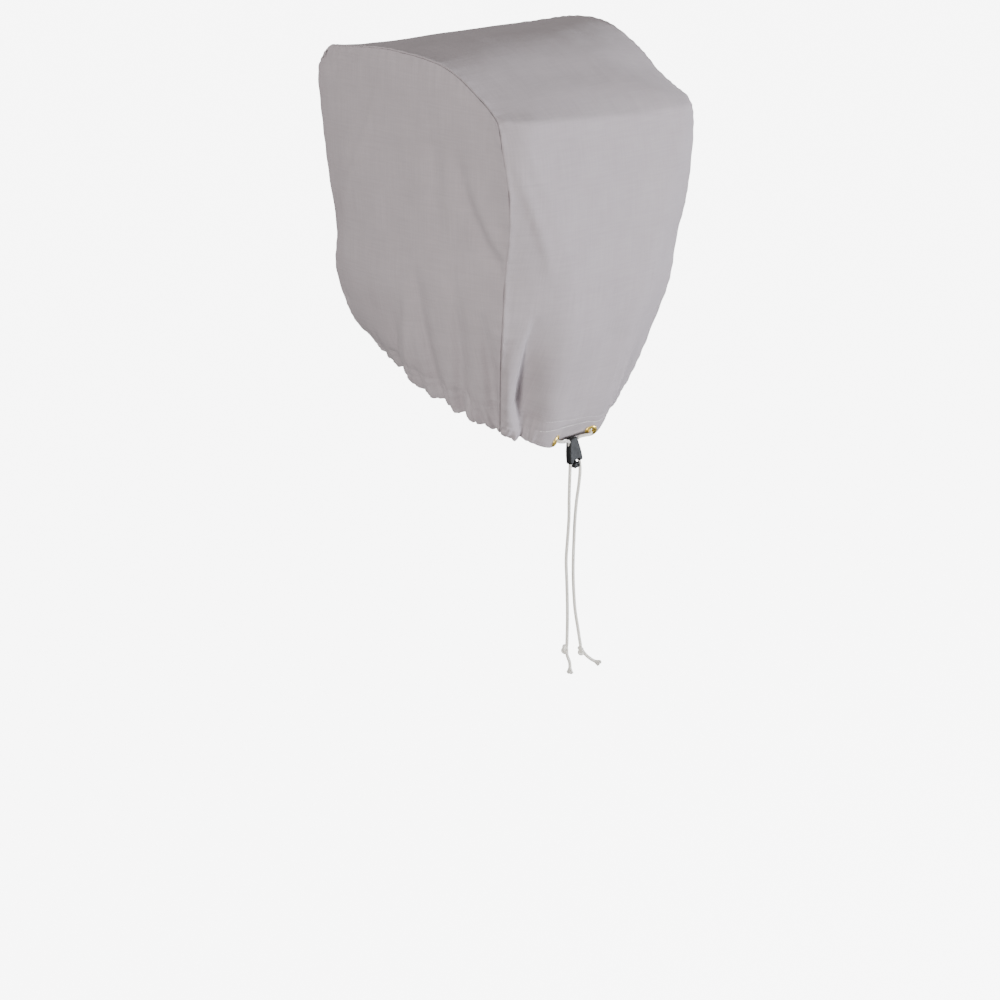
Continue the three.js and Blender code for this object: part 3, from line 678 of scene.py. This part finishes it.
def panel(name, across, along, faces, flat, material, holes=()):
    """A closed cloth panel from a grid of two parameters.

    faces gives outer and inner points in millimetres, flat the cloth's flat places in metres,
    and holes are places and radii, in millimetres, where the cloth is cut away."""
    columns = len(across)
    rows = len(along)
    bm, column, row = grid_of(columns, rows)
    outer, inner = faces(along[row], across[column])
    lay_uv(bm, flat(along[row], across[column]))
    outer_verts = list(bm.verts)
    edge_of_grid = (column == 0) | (column == columns - 1) | (row == 0) | (row == rows - 1)
    copied = bmesh.ops.duplicate(bm, geom=bm.verts[:] + bm.edges[:] + bm.faces[:])
    twin = copied["vert_map"]
    inner_verts = [twin[vert] for vert in outer_verts]
    place_vertices(bm, outer_verts, outer * MM)
    place_vertices(bm, inner_verts, inner * MM)
    bmesh.ops.reverse_faces(bm, faces=[f for f in copied["geom"] if isinstance(f, bmesh.types.BMFace)])
    rim = {v for v, edge in zip(outer_verts, edge_of_grid) if edge}
    rim |= {v for v, edge in zip(inner_verts, edge_of_grid) if edge}
    border = [e for e in bm.edges if e.is_boundary and set(e.verts) <= rim]
    bmesh.ops.bridge_loops(bm, edges=border)
    for place, radius in holes:
        place = Vector(place) * MM
        cut = [f for f in bm.faces if (f.calc_center_median() - place).length < radius * MM]
        bmesh.ops.delete(bm, geom=cut, context="FACES")
    bmesh.ops.recalc_face_normals(bm, faces=bm.faces)
    return finished(name, bm, material)


def add_to(bm, other):
    """Joins another bmesh into this one and frees it."""
    mesh = shaped("part", other)
    bm.from_mesh(mesh)
    bpy.data.meshes.remove(mesh)


def frames_along(line):
    """A right and an up direction at each point of a line, turned as little as possible."""
    ways = unit(np.vstack([line[1] - line[0], line[2:] - line[:-2], line[-1] - line[-2]]))
    rights = [Vector(ways[0]).orthogonal().normalized()]
    for before, here in zip(ways, ways[1:]):
        turn = Vector(before).rotation_difference(Vector(here))
        rights.append((turn @ rights[-1]).normalized())
    rights = np.array(rights)
    return rights, np.cross(ways, rights)


def tube_mesh(line, radius, sides=20):
    """A round bar along a line in millimetres. radius is one number or one for each point."""
    right, up = frames_along(line)
    bm, column, row = grid_of(sides + 1, len(line))
    angle = 2 * np.pi * column / sides
    wide = (np.zeros(len(line)) + radius)[row][:, None]
    points = line[row] + wide * (np.cos(angle)[:, None] * right[row] + np.sin(angle)[:, None] * up[row])
    lay_uv(bm, np.column_stack([column / sides, lengths_along(line)[row] * MM]))
    place_vertices(bm, bm.verts, points * MM)
    bmesh.ops.remove_doubles(bm, verts=bm.verts, dist=1e-6)
    bmesh.ops.holes_fill(bm, edges=[e for e in bm.edges if e.is_boundary], sides=sides + 2)
    bmesh.ops.recalc_face_normals(bm, faces=bm.faces)
    return bm


# Materials
def linear(colour):
    """An sRGB hex colour as linear red, green, blue and alpha."""
    parts = [int(colour[i:i + 2], 16) / 255 for i in (1, 3, 5)]
    return [p / 12.92 if p <= 0.04045 else ((p + 0.055) / 1.055) ** 2.4 for p in parts] + [1]


def add_node(owner, kind, inputs=(), **settings):
    """Adds a node. inputs gives a socket's name or number a value or another node's output."""
    node = owner.node_tree.nodes.new(f"ShaderNode{kind}")
    for name, value in settings.items():
        setattr(node, name, value)
    for socket, value in dict(inputs).items():
        if isinstance(value, bpy.types.NodeSocket):
            owner.node_tree.links.new(value, node.inputs[socket])
        else:
            node.inputs[socket].default_value = value
    return node


def new_material(name):
    material = bpy.data.materials.new(name)
    material.use_nodes = True
    material.node_tree.nodes.clear()
    return material


def finish_material(material, **inputs):
    """Ends a material in its shader, with sockets named by words joined with underscores."""
    named = {name.replace("_", " "): value for name, value in inputs.items()}
    shader = add_node(material, "BsdfPrincipled", named)
    add_node(material, "OutputMaterial", {"Surface": shader.outputs["BSDF"]})
    return material


def mottled(material, size, detail, roughness, dark, light):
    """Patches of a size in metres, from 0 to 1, and the colour that they give between two hexes."""
    body = add_node(material, "TexCoord").outputs["Object"]
    patches = add_node(material, "TexNoise", {
        "Vector": body, "Scale": 1 / size, "Detail": detail, "Roughness": roughness,
    }).outputs["Fac"]
    colour = add_node(material, "Mix", {
        "Factor": patches, "A": linear(dark), "B": linear(light),
    }, data_type="RGBA").outputs["Result"]
    return patches, colour


def duck_cloth():
    """Plain-woven cotton duck with a water-repellent finish: matt, slubby and a little blotched."""
    cloth = new_material("woven cotton duck")
    place = add_node(cloth, "UVMap", uv_map="cloth").outputs["UV"]
    parts = add_node(cloth, "SeparateXYZ", {0: place}).outputs

    def stripes(along, pitch):
        phase = add_node(cloth, "Math", {0: along, 1: math.pi / pitch}, operation="MULTIPLY")
        wave = add_node(cloth, "Math", {0: phase.outputs[0]}, operation="SINE")
        return add_node(cloth, "Math", {0: wave.outputs[0]}, operation="ABSOLUTE").outputs[0]

    # Threads lie 0.5 mm apart on the real cloth. They are drawn 1 mm apart, so that they show.
    thread = 1.0 * MM
    over = add_node(cloth, "TexChecker", {"Vector": place, "Scale": 1 / thread})
    weave = add_node(cloth, "Mix", {
        "Factor": over.outputs["Fac"],
        "A": stripes(parts["X"], thread),
        "B": stripes(parts["Y"], thread),
    }).outputs["Result"]

    def slubs(across, long):
        """Thick and thin stretches of thread."""
        stretched = add_node(cloth, "Mapping", {
            "Vector": place, "Scale": (1 / across, 1 / long, 1),
        })
        return add_node(cloth, "TexNoise", {
            "Vector": stretched.outputs[0], "Scale": 1.0, "Detail": 2.0, "Roughness": 0.5,
        }).outputs["Fac"]

    warp = slubs(2.2 * MM, 70 * MM)
    weft = slubs(60 * MM, 2.6 * MM)
    threads = add_node(cloth, "Math", {0: warp, 1: weft}, operation="ADD").outputs[0]
    body = add_node(cloth, "TexCoord").outputs["Object"]
    blotch = add_node(cloth, "TexNoise", {
        "Vector": body, "Scale": 1 / (60 * MM), "Detail": 3.0, "Roughness": 0.6,
    }).outputs["Fac"]
    shade = add_node(cloth, "Math", {0: threads, 1: blotch}, operation="ADD").outputs[0]
    share = add_node(cloth, "MapRange", {
        "Value": shade, "From Min": 1.1, "From Max": 1.9, "To Min": 0.0, "To Max": 1.0,
    }).outputs["Result"]
    colour = add_node(cloth, "Mix", {
        "Factor": share, "A": linear("#A19799"), "B": linear("#ABA1A3"),
    }, data_type="RGBA")
    creases = add_node(cloth, "TexNoise", {
        "Vector": body, "Scale": 1 / (22 * MM), "Detail": 4.0, "Roughness": 0.55,
    }).outputs["Fac"]
    rough = add_node(cloth, "Bump", {"Height": creases, "Distance": 0.8 * MM, "Strength": 0.3})
    slubbed = add_node(cloth, "Bump", {
        "Height": threads, "Distance": 0.12 * MM, "Strength": 0.18, "Normal": rough.outputs[0],
    })
    woven = add_node(cloth, "Bump", {
        "Height": weave, "Distance": 0.2 * MM, "Strength": 0.4, "Normal": slubbed.outputs[0],
    })
    return finish_material(
        cloth, Base_Color=colour.outputs["Result"], Normal=woven.outputs[0],
        Roughness=0.92, Sheen_Weight=0.12, Sheen_Roughness=0.5, Specular_IOR_Level=0.25,
    )


def rolled_brass():
    """Rolled brass, polished and lacquered, so bright yellow, with faint scuffs from the punch."""
    brass = new_material("rolled brass")
    scuff, colour = mottled(brass, 1.5 * MM, 4.0, 0.6, "#FFD24C", "#FFE88C")
    dull = add_node(brass, "MapRange", {
        "Value": scuff, "From Min": 0.3, "From Max": 0.7, "To Min": 0.3, "To Max": 0.4,
    })
    dents = add_node(brass, "Bump", {"Height": scuff, "Distance": 0.04 * MM, "Strength": 0.2})
    return finish_material(
        brass, Base_Color=colour, Metallic=0.88, Roughness=dull.outputs["Result"],
        Normal=dents.outputs[0],
    )


def braided_cotton():
    """Cream cotton cord, braided of sixteen strands, so it has small diamonds all round."""
    cord = new_material("braided cotton cord")
    place = add_node(cord, "UVMap", uv_map="cloth").outputs["UV"]
    parts = add_node(cord, "SeparateXYZ", {0: place}).outputs
    round_turns = 2 * math.pi * 8
    lay = 2 * math.pi / (3.6 * MM)

    def strand(direction):
        turned = add_node(cord, "Math", {0: parts["X"], 1: round_turns}, operation="MULTIPLY")
        along = add_node(cord, "Math", {0: parts["Y"], 1: lay * direction}, operation="MULTIPLY")
        both = add_node(cord, "Math", {0: turned.outputs[0], 1: along.outputs[0]}, operation="ADD")
        return add_node(cord, "Math", {0: both.outputs[0]}, operation="SINE").outputs[0]

    braid = add_node(cord, "Math", {0: strand(1), 1: strand(-1)}, operation="MAXIMUM").outputs[0]
    tint = mottled(cord, 9 * MM, 3.0, 0.6, "#EFE9DC", "#FCF9F2")[1]
    # Painted shade: the grooves between the strands are coloured darker (#DDD5C6) for the shade that falls in
    # them, on top of the bump.
    deep = add_node(cord, "MapRange", {
        "Value": braid, "From Min": -0.2, "From Max": 0.7, "To Min": 0.0, "To Max": 1.0,
    }).outputs["Result"]
    colour = add_node(cord, "Mix", {
        "Factor": deep, "A": linear("#DDD5C6"), "B": tint,
    }, data_type="RGBA").outputs["Result"]
    raised = add_node(cord, "Bump", {"Height": braid, "Distance": 0.35 * MM, "Strength": 0.7})
    return finish_material(
        cord, Base_Color=colour, Normal=raised.outputs[0], Roughness=0.9, Sheen_Weight=0.15,
        Specular_IOR_Level=0.3,
    )


def moulded_acetal():
    """Black acetal from a mould: matt, with the faint orange peel of its tool."""
    plastic = new_material("moulded black acetal")
    body = add_node(plastic, "TexCoord").outputs["Object"]
    peel = add_node(plastic, "TexNoise", {
        "Vector": body, "Scale": 1 / (0.9 * MM), "Detail": 2.0, "Roughness": 0.5,
    }).outputs["Fac"]
    worn, colour = mottled(plastic, 7 * MM, 3.0, 0.6, "#101112", "#19191A")
    dull = add_node(plastic, "MapRange", {
        "Value": worn, "From Min": 0.3, "From Max": 0.7, "To Min": 0.5, "To Max": 0.64,
    }).outputs["Result"]
    raised = add_node(plastic, "Bump", {"Height": peel, "Distance": 0.05 * MM, "Strength": 0.3})
    return finish_material(
        plastic, Base_Color=colour, Normal=raised.outputs[0], Roughness=dull, IOR=1.48,
        Specular_IOR_Level=0.35,
    )


def sewing_thread(name, dark, light):
    """Bonded polyester thread: twisted, with a soft shine."""
    thread = new_material(name)
    twist, colour = mottled(thread, 0.8 * MM, 2.0, 0.5, dark, light)
    raised = add_node(thread, "Bump", {"Height": twist, "Distance": 0.1 * MM, "Strength": 0.5})
    return finish_material(
        thread, Base_Color=colour, Normal=raised.outputs[0], Roughness=0.6, Sheen_Weight=0.1,
    )


CLOTH_FINISH = duck_cloth()
BRASS = rolled_brass()
CORD_FINISH = braided_cotton()
PLASTIC = moulded_acetal()
WHITE_THREAD = sewing_thread("white bonded thread", "#E2DFDA", "#F8F6F2")
PALE_THREAD = sewing_thread("pale grey bonded thread", "#C2BDBB", "#D8D4D1")
GREY_THREAD = sewing_thread("grey bonded thread", "#9D9596", "#AEA7A8")

# The free cords
CORD = {"radius": 2.5, "step": 2.0}
cord_lines = {side: through(route, CORD["step"]) for side, route in CORD_ROUTES.items()}
cords = {
    side: finished(
        f"drawcord_{side}", tube_mesh(line, CORD["radius"]), CORD_FINISH,
        stands_for=[f"cord_{side}"],
    )
    for side, line in cord_lines.items()
}

# A knot: how far out its strand runs, how deep the crossings are, half its height, how much of the
# trefoil is kept, from where its ends lead out and how far, and its turn in radians on each cord.
KNOT = {"size": 1.85, "deep": 2.3, "half": 4.2, "kept": 0.93, "ends_from": 0.5, "ends_out": 2.0,
        "lean": {"port": 3.5, "starboard": 2.5}}
# The brush of a cut end: its strands, how far they start inside the cord, how they spread and
# split in two, how much shorter the outer ones are, and how each thins towards its tip.
BRUSH = {"strands": 34, "radius": 0.95, "long": 10.5, "inside": 5.5, "spread": 0.3, "split": 0.085,
         "shorter": 0.16, "thins": (1, 1, 1, 1, 1, 1, 0.96, 0.72)}
# The angle between one strand and the next that spreads them evenly over a round end.
GOLDEN_ANGLE = 2.39996


def overhand(start, end, lean):
    """An overhand knot's line between two points, in millimetres: a trefoil cut at a lobe."""
    middle = (start + end) / 2
    down = unit(end - start)
    side = unit(np.cross(down, (0.0, 1.0, 0.0)))
    depth = np.cross(down, side)
    side, depth = (side * math.cos(lean) + depth * math.sin(lean),
                   depth * math.cos(lean) - side * math.sin(lean))
    share = np.linspace(-KNOT["kept"], KNOT["kept"], 60)
    t = math.pi * (2 + share)
    along = np.sin(t) + 2 * np.sin(2 * t)
    across = np.cos(t) - 2 * np.cos(2 * t)
    leading = smooth((np.abs(share) - KNOT["ends_from"]) / (KNOT["kept"] - KNOT["ends_from"]))
    across += 1.0 + KNOT["ends_out"] * leading
    size = KNOT["size"]
    line = middle + np.outer(along * size, down) + np.outer(across * size, side)
    return line + np.outer(-np.sin(3 * t) * KNOT["deep"], depth)


def knotted_tail(side):
    """The knot, the tail below it and the brush of strands at its cut end."""
    end_of_cord = cord_lines[side][-1]
    into = unit(end_of_cord - cord_lines[side][-4])
    tail = np.array(TAIL_ROUTES[side], float)
    half = into * KNOT["half"]
    knot = overhand(tail[0] - half, tail[0] + half, KNOT["lean"][side])
    line = through(np.vstack([end_of_cord - into, knot, tail[1:]]), 1.0)
    bm = tube_mesh(line, CORD["radius"], 16)
    tip = line[-1]
    way = unit(tip - line[-6])
    aside = unit(np.cross(way, (0.3, 1.0, 0.2)))
    over = np.cross(way, aside)
    thin = BRUSH["radius"] * np.array(BRUSH["thins"])
    t = np.linspace(0, 1, len(thin))[:, None]
    for i in range(BRUSH["strands"]):
        turn = i * GOLDEN_ANGLE
        out = math.sqrt((i + 0.5) / BRUSH["strands"])
        spoke = aside * math.cos(turn) + over * math.sin(turn)
        lobe = math.copysign(1, math.cos(turn))
        uneven = 0.07 * math.sin(5 * turn) + 0.06 * lobe
        reach = BRUSH["long"] * (1 - BRUSH["shorter"] * out + uneven)
        strand = tip + way * (reach * t - BRUSH["inside"])
        strand = strand + spoke * out * (CORD["radius"] - BRUSH["radius"] + BRUSH["spread"] * reach * t)
        strand = strand + aside * lobe * BRUSH["split"] * reach * t ** 2
        strand = strand - way * (0.1 * reach * (out * t) ** 2)
        add_to(bm, tube_mesh(strand, thin, 7))
    return finished(
        f"knot_and_tail_{side}", bm, CORD_FINISH, stands_for=[f"knot_{side}"],
    )


knots = {side: knotted_tail(side) for side in CORD_ROUTES}

# The cloth. Its grids are finest at the seams and hems.
CENTRE_ROWS = np.interp(
    graded(DENSE_LENGTHS[-1], 1.1, 4.6, 75) * DENSE_LENGTHS[-1], DENSE_LENGTHS, DENSE_SECTIONS,
)
CENTRE_COLUMNS = 2 * graded(400, 0.45, 3.4, 15) - 1
SIDE_COLUMNS = graded(380, 0.45, 2.6, 15)
SIDE_ROWS = graded(470, 0.55, 4.2, 45)


def centre_flat(section, across):
    base = centre_base(section, across)
    return np.column_stack([base[:, 0], np.interp(section, DENSE_SECTIONS, DENSE_LENGTHS)]) * MM


# The grommets' seats on the back hem: the place on the cloth and the way out of it.
GROMMET_SEATS = {
    "port": ((-32.99, -114.30, -589.04), (0.403, -0.831, -0.383)),
    "starboard": ((42.55, -113.88, -588.57), (-0.278, -0.869, -0.410)),
}
# A grommet's radii, where its washer lies under the cloth and how thick it is, the heights of the
# crown and of its foot, and the washer's bevel.
GROMMET = {"hole": 4.1, "barrel": 4.7, "flange": 10.0, "back": 8.8, "under": -2.5, "washer": 0.8,
           "crown": 2.0, "foot": 0.3, "bevel": 0.5}
# The radius of the cloth's hole round a grommet's barrel.
CLOTH_HOLE = 6.4
HANDS = {"port": -1.0, "starboard": 1.0}

hood_centre = panel(
    "hood_centre", CENTRE_COLUMNS, CENTRE_ROWS, centre_faces, centre_flat, CLOTH_FINISH,
    [(place, CLOTH_HOLE) for place, _ in GROMMET_SEATS.values()],
)
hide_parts("centre_panel")
for side, hand in HANDS.items():
    panel(
        f"hood_side_{side}", SIDE_COLUMNS, SIDE_ROWS,
        lambda down, back: side_faces(hand, back, down),
        lambda down, back: side_base(hand, back, down)[:, 1:] * MM,
        CLOTH_FINISH,
    )
    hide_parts(f"side_panel_{side}")

# The grommets
def turned(profile, steps=64):
    """A ring turned about the z axis from a closed profile of radius and height in millimetres."""
    bm = bmesh.new()
    verts = [bm.verts.new((radius * MM, 0, z * MM)) for radius, z in profile]
    edges = [bm.edges.new((a, b)) for a, b in zip(verts, verts[1:] + verts[:1])]
    bmesh.ops.spin(
        bm, geom=verts + edges, cent=(0, 0, 0), axis=(0, 0, 1), angle=2 * math.pi, steps=steps,
        use_merge=True,
    )
    bmesh.ops.recalc_face_normals(bm, faces=bm.faces)
    return bm


def grommet(side):
    """A domed flange outside the cloth, a barrel through it and a washer inside."""
    hole = GROMMET["hole"]
    flange = GROMMET["flange"]
    under = GROMMET["under"]
    back = GROMMET["back"]
    bevel = GROMMET["bevel"]
    middle = (hole + flange) / 2
    crown = [(middle + (middle - hole) * math.cos(a), GROMMET["foot"] + GROMMET["crown"] * math.sin(a))
             for a in np.linspace(math.pi, 0, 19)]
    washer = under - GROMMET["washer"]
    below = [(flange - 0.1, 0.05), (GROMMET["barrel"], 0.1), (GROMMET["barrel"], under), (back, under),
             (back, washer), (hole + bevel, washer), (hole, washer + bevel)]
    bm = turned([*crown, *below])
    place, axis = GROMMET_SEATS[side]
    turn = Vector((0, 0, 1)).rotation_difference(Vector(axis)).to_matrix().to_4x4()
    bm.transform(Matrix.Translation(Vector(place) * MM) @ turn)
    finished(f"brass_grommet_{side}", bm, BRASS, stands_for=[f"grommet_{side}"])


for side in GROMMET_SEATS:
    grommet(side)

# The cord lock. Its own z axis runs up its middle and leans a little to port.
LOCK_FRAME = Matrix.Translation(Vector((4.2, -115, -610)) * MM) @ Matrix.Rotation(-0.175, 4, "Y")
LOCK = {"deep": 11, "rim": 2.4, "bore": 2.9, "bore_low": -18.5, "bore_high": 6.5,
        "cord_clearance": 0.45, "cord_points": 60}
BUTTON = {"half": 5.4, "low": -29.2, "high": -21.2, "corner": 2.0, "deep": 10.0, "rim": 1.6,
          "stem": 2.4, "stem_low": -23, "stem_high": 1.5, "dimple": 3.9,
          "dimple_at": (0.8, -7.7, -25.2)}
# The right half of the body's outline, from the notch's roof round the lobe and up to the top.
LOCK_OUTLINE = [
    (2.6, -15.5), (4.6, -16.0), (5.7, -17.4), (6.3, -19.2), (7.3, -20), (11.4, -20), (12.8, -19.4),
    (13.2, -18), (13.15, -13), (12.6, -7), (11.3, 1), (9.8, 8), (8.4, 14), (7.6, 17.2), (6.6, 19.2),
    (4.9, 20), (0.9, 20),
]


def slab(outline, deep, round_by):
    """An outline in x and z, extruded along y to a depth about it, with its two rims rounded."""
    bm = bmesh.new()
    verts = [bm.verts.new((x * MM, -deep / 2 * MM, z * MM)) for x, z in outline]
    face = bm.faces.new(verts)
    raised = bmesh.ops.extrude_face_region(bm, geom=[face])["geom"]
    top = [v for v in raised if isinstance(v, bmesh.types.BMVert)]
    bmesh.ops.translate(bm, verts=top, vec=(0, deep * MM, 0))
    bmesh.ops.recalc_face_normals(bm, faces=bm.faces)
    rims = [e for e in bm.edges if abs(e.verts[0].co.y - e.verts[1].co.y) < 1e-7]
    bmesh.ops.bevel(
        bm, geom=rims, offset=round_by * MM, affect="EDGES", segments=4, profile=0.5,
        material=-1, clamp_overlap=True,
    )
    return bm


def cut_away(piece, cutters):
    """Cuts closed meshes out of a piece."""
    for cutter in cutters:
        tool = new_object("cutter", shaped("cutter", cutter))
        boolean = piece.modifiers.new("cut", "BOOLEAN")
        boolean.object = tool
        boolean.solver = "EXACT"
        graph = bpy.context.evaluated_depsgraph_get()
        cut = bpy.data.meshes.new_from_object(piece.evaluated_get(graph))
        piece.modifiers.clear()
        piece.data = cut
        bpy.data.meshes.remove(tool.data)


def rounded(piece):
    """Shades a hard piece by the size of its faces, so that its flats stay flat and its cuts crisp."""
    piece.data.set_sharp_from_angle(angle=math.radians(40))
    weighted = piece.modifiers.new("flats", "WEIGHTED_NORMAL")
    weighted.keep_sharp = True


def lock_bar(radius, low, high):
    """A round bar along the lock's own z axis, between two heights."""
    bm = turned([(0, low), (radius, low), (radius, high), (0, high)], 32)
    bmesh.ops.remove_doubles(bm, verts=bm.verts, dist=1e-7)
    bmesh.ops.dissolve_degenerate(bm, edges=bm.edges, dist=1e-7)
    inside = [f for f in bm.faces if f.calc_area() < 1e-14]
    bmesh.ops.delete(bm, geom=inside, context="FACES")
    bmesh.ops.recalc_face_normals(bm, faces=bm.faces)
    bm.transform(LOCK_FRAME)
    return bm


def make_lock():
    outline = LOCK_OUTLINE + [(-x, z) for x, z in reversed(LOCK_OUTLINE)]
    bm = slab(outline, LOCK["deep"], LOCK["rim"])
    bm.transform(LOCK_FRAME)
    body = finished("lock_shell", bm, PLASTIC, stands_for=["lock_body"])
    wide = CORD["radius"] + LOCK["cord_clearance"]
    channels = [tube_mesh(line[:LOCK["cord_points"]], wide, 24) for line in cord_lines.values()]
    cut_away(body, [*channels, lock_bar(LOCK["bore"], LOCK["bore_low"], LOCK["bore_high"])])
    rounded(body)


def block_outline():
    """The button's upright oblong with rounded corners, as points in x and z."""
    points = []
    corner = BUTTON["corner"]
    inner = BUTTON["half"] - corner
    upper = BUTTON["high"] - corner
    lower = BUTTON["low"] + corner
    for x, z, start in ((inner, upper, 0), (-inner, upper, 90), (-inner, lower, 180), (inner, lower, 270)):
        for turn in range(start, start + 91, 18):
            angle = math.radians(turn)
            points.append((x + corner * math.cos(angle), z + corner * math.sin(angle)))
    return points


def make_button():
    """The button's block, with a thumb dimple in its after face, on its stem."""
    block = slab(block_outline(), BUTTON["deep"], BUTTON["rim"])
    block.transform(LOCK_FRAME)
    button = finished("lock_push_button", block, PLASTIC, "button", ["lock_button"])
    dimple = bmesh.new()
    bmesh.ops.create_uvsphere(dimple, u_segments=40, v_segments=20, radius=BUTTON["dimple"] * MM)
    bmesh.ops.translate(dimple, verts=dimple.verts, vec=Vector(BUTTON["dimple_at"]) * MM)
    dimple.transform(LOCK_FRAME)
    cut_away(button, [dimple])
    # The stem runs into the block. It is added after the cut, which could lose one of two shells.
    whole = bmesh.new()
    whole.from_mesh(button.data)
    add_to(whole, lock_bar(BUTTON["stem"], BUTTON["stem_low"], BUTTON["stem_high"]))
    whole.to_mesh(button.data)
    whole.free()
    rounded(button)


make_lock()
make_button()

# The casing's stitches: their pitch, half length and radius, and how far they stand off the cloth.
STITCH = {"pitch": 4.2, "long": 1.75, "radius": 0.42, "proud": 0.1}
# How many sections above the back hem, and how much of a side panel's height, hold both rows.
BACK_REACH = 2
SIDE_REACH = 0.2


def stitch_row(name, outer, material):
    """Small thread loops along a line of points in millimetres, laid end to end."""
    even = np.arange(STITCH["pitch"] / 2, lengths_along(outer)[-1], STITCH["pitch"])
    long, radius = STITCH["long"] * MM, STITCH["radius"] * MM
    size = Matrix.Diagonal((long, radius, radius, 1))
    bm = bmesh.new()
    for place, next_place in zip(points_at(outer, even), points_at(outer, even + 1)):
        turn = Vector(next_place - place).to_track_quat("X", "Z").to_matrix().to_4x4()
        bmesh.ops.create_icosphere(
            bm, subdivisions=1, radius=1, matrix=Matrix.Translation(Vector(place) * MM) @ turn @ size,
        )
    return finished(name, bm, material)


def where_above(line, places, height):
    """The place on a panel's line down to its hem where it runs a height above the hem."""
    above = np.linalg.norm(line - line[-1], axis=1)
    return np.interp(-height, -above, places)


def sewn(outer, inner):
    """Points a little off the cloth's outer face."""
    return outer + unit(outer - inner) * STITCH["proud"]


def back_row(row, start, end):
    """Points of a sewn row on the back, from one place across it to another."""
    x = np.linspace(start, end, 200)
    dense = np.linspace(BACK_HEM - BACK_REACH, BACK_HEM, 120)
    section = np.empty_like(x)
    across = x / float(HALF[BACK_HEM])
    # Twice, because the width of the panel depends on the section that the row has there.
    for _ in range(2):
        for i, share in enumerate(across):
            line = centre_base(dense, np.full_like(dense, share))
            section[i] = where_above(line, dense, row_above(row, x[i], True))
        across = x / seam_at(section, -np.ones_like(x))[:, 0]
    return sewn(*centre_faces(section, across))


def side_row(row, hand):
    """Points of a sewn row on a side panel, from its front seam to its back seam."""
    back = np.linspace(0.02, 0.98, 300)
    dense = np.linspace(1 - SIDE_REACH, 1, 120)
    down = np.empty_like(back)
    for i, share in enumerate(back):
        line = side_base(hand, np.full_like(dense, share), dense)
        down[i] = where_above(line, dense, ROWS[row][0])
    return sewn(*side_faces(hand, back, down))


stitch_row("back_stitches_lower", back_row("lower", -68, 84), WHITE_THREAD)
stitch_row("back_stitches_upper", back_row("upper", -64, 84), PALE_THREAD)
for row in ROWS:
    for side, hand in HANDS.items():
        stitch_row(f"{side}_stitches_{row}", side_row(row, hand), GREY_THREAD)

# Floor and lights
FLOOR_HALF = 30
FLOOR_HEIGHT = -1.66


def make_floor():
    bm = bmesh.new()
    bmesh.ops.create_grid(bm, x_segments=1, y_segments=1, size=FLOOR_HALF)
    bmesh.ops.translate(bm, verts=bm.verts, vec=(0, 0, FLOOR_HEIGHT))
    floor = new_object("floor", shaped("floor", bm))
    paper = new_material("white paper sweep")
    floor.data.materials.append(finish_material(
        paper, Base_Color=linear("#F4F4F4"), Roughness=0.9, Emission_Color=linear("#FFFFFF"),
        Emission_Strength=7.0,
    ))
    # The paper is lit for itself, and throws none of its light up at the hood.
    floor.visible_diffuse = False
    floor.visible_glossy = False


def add_light(name, place, power, colour):
    """A round lamp a metre across that faces the hood, at a place in metres and a power in watts."""
    data = bpy.data.lights.new(name, "AREA")
    data.shape = "DISK"
    data.size = 1.0
    data.energy = power
    data.color = linear(colour)[:3]
    light = new_object(name, data)
    light.location = place
    way = Vector(MIDDLE_OF_HOOD) - Vector(place)
    light.rotation_euler = way.to_track_quat("-Z", "Y").to_euler()


def make_world():
    """Soft light from all round: brightest at eye level, and dim overhead and below."""
    world = bpy.data.worlds.new("studio")
    world.use_nodes = True
    place = add_node(world, "TexCoord").outputs["Generated"]
    height = add_node(world, "SeparateXYZ", {0: place}).outputs["Z"]
    share = add_node(world, "MapRange", {"Value": height, "From Min": -1.0})
    ramp = add_node(world, "ValToRGB", {"Fac": share.outputs["Result"]})
    for position, grey in WORLD_GREYS:
        if position in (0, 1):
            element = ramp.color_ramp.elements[int(position)]
        else:
            element = ramp.color_ramp.elements.new(position)
        element.color = (grey, grey, grey, 1)
    background = world.node_tree.nodes["Background"]
    world.node_tree.links.new(ramp.outputs["Color"], background.inputs["Color"])
    bpy.context.scene.world = world


# How bright the room is, from straight below to straight above.
WORLD_GREYS = ((0, 0.05), (0.4, 0.28), (0.51, 0.84), (0.6, 0.26), (1, 0.06))
MIDDLE_OF_HOOD = (0, 0, -0.3)
make_floor()
add_light("key", (3.0, -3.6, -0.6), 420, "#F1F6FF")
add_light("fill", (-4.35, -1.8, -0.5), 208, "#FFFFFF")
make_world()
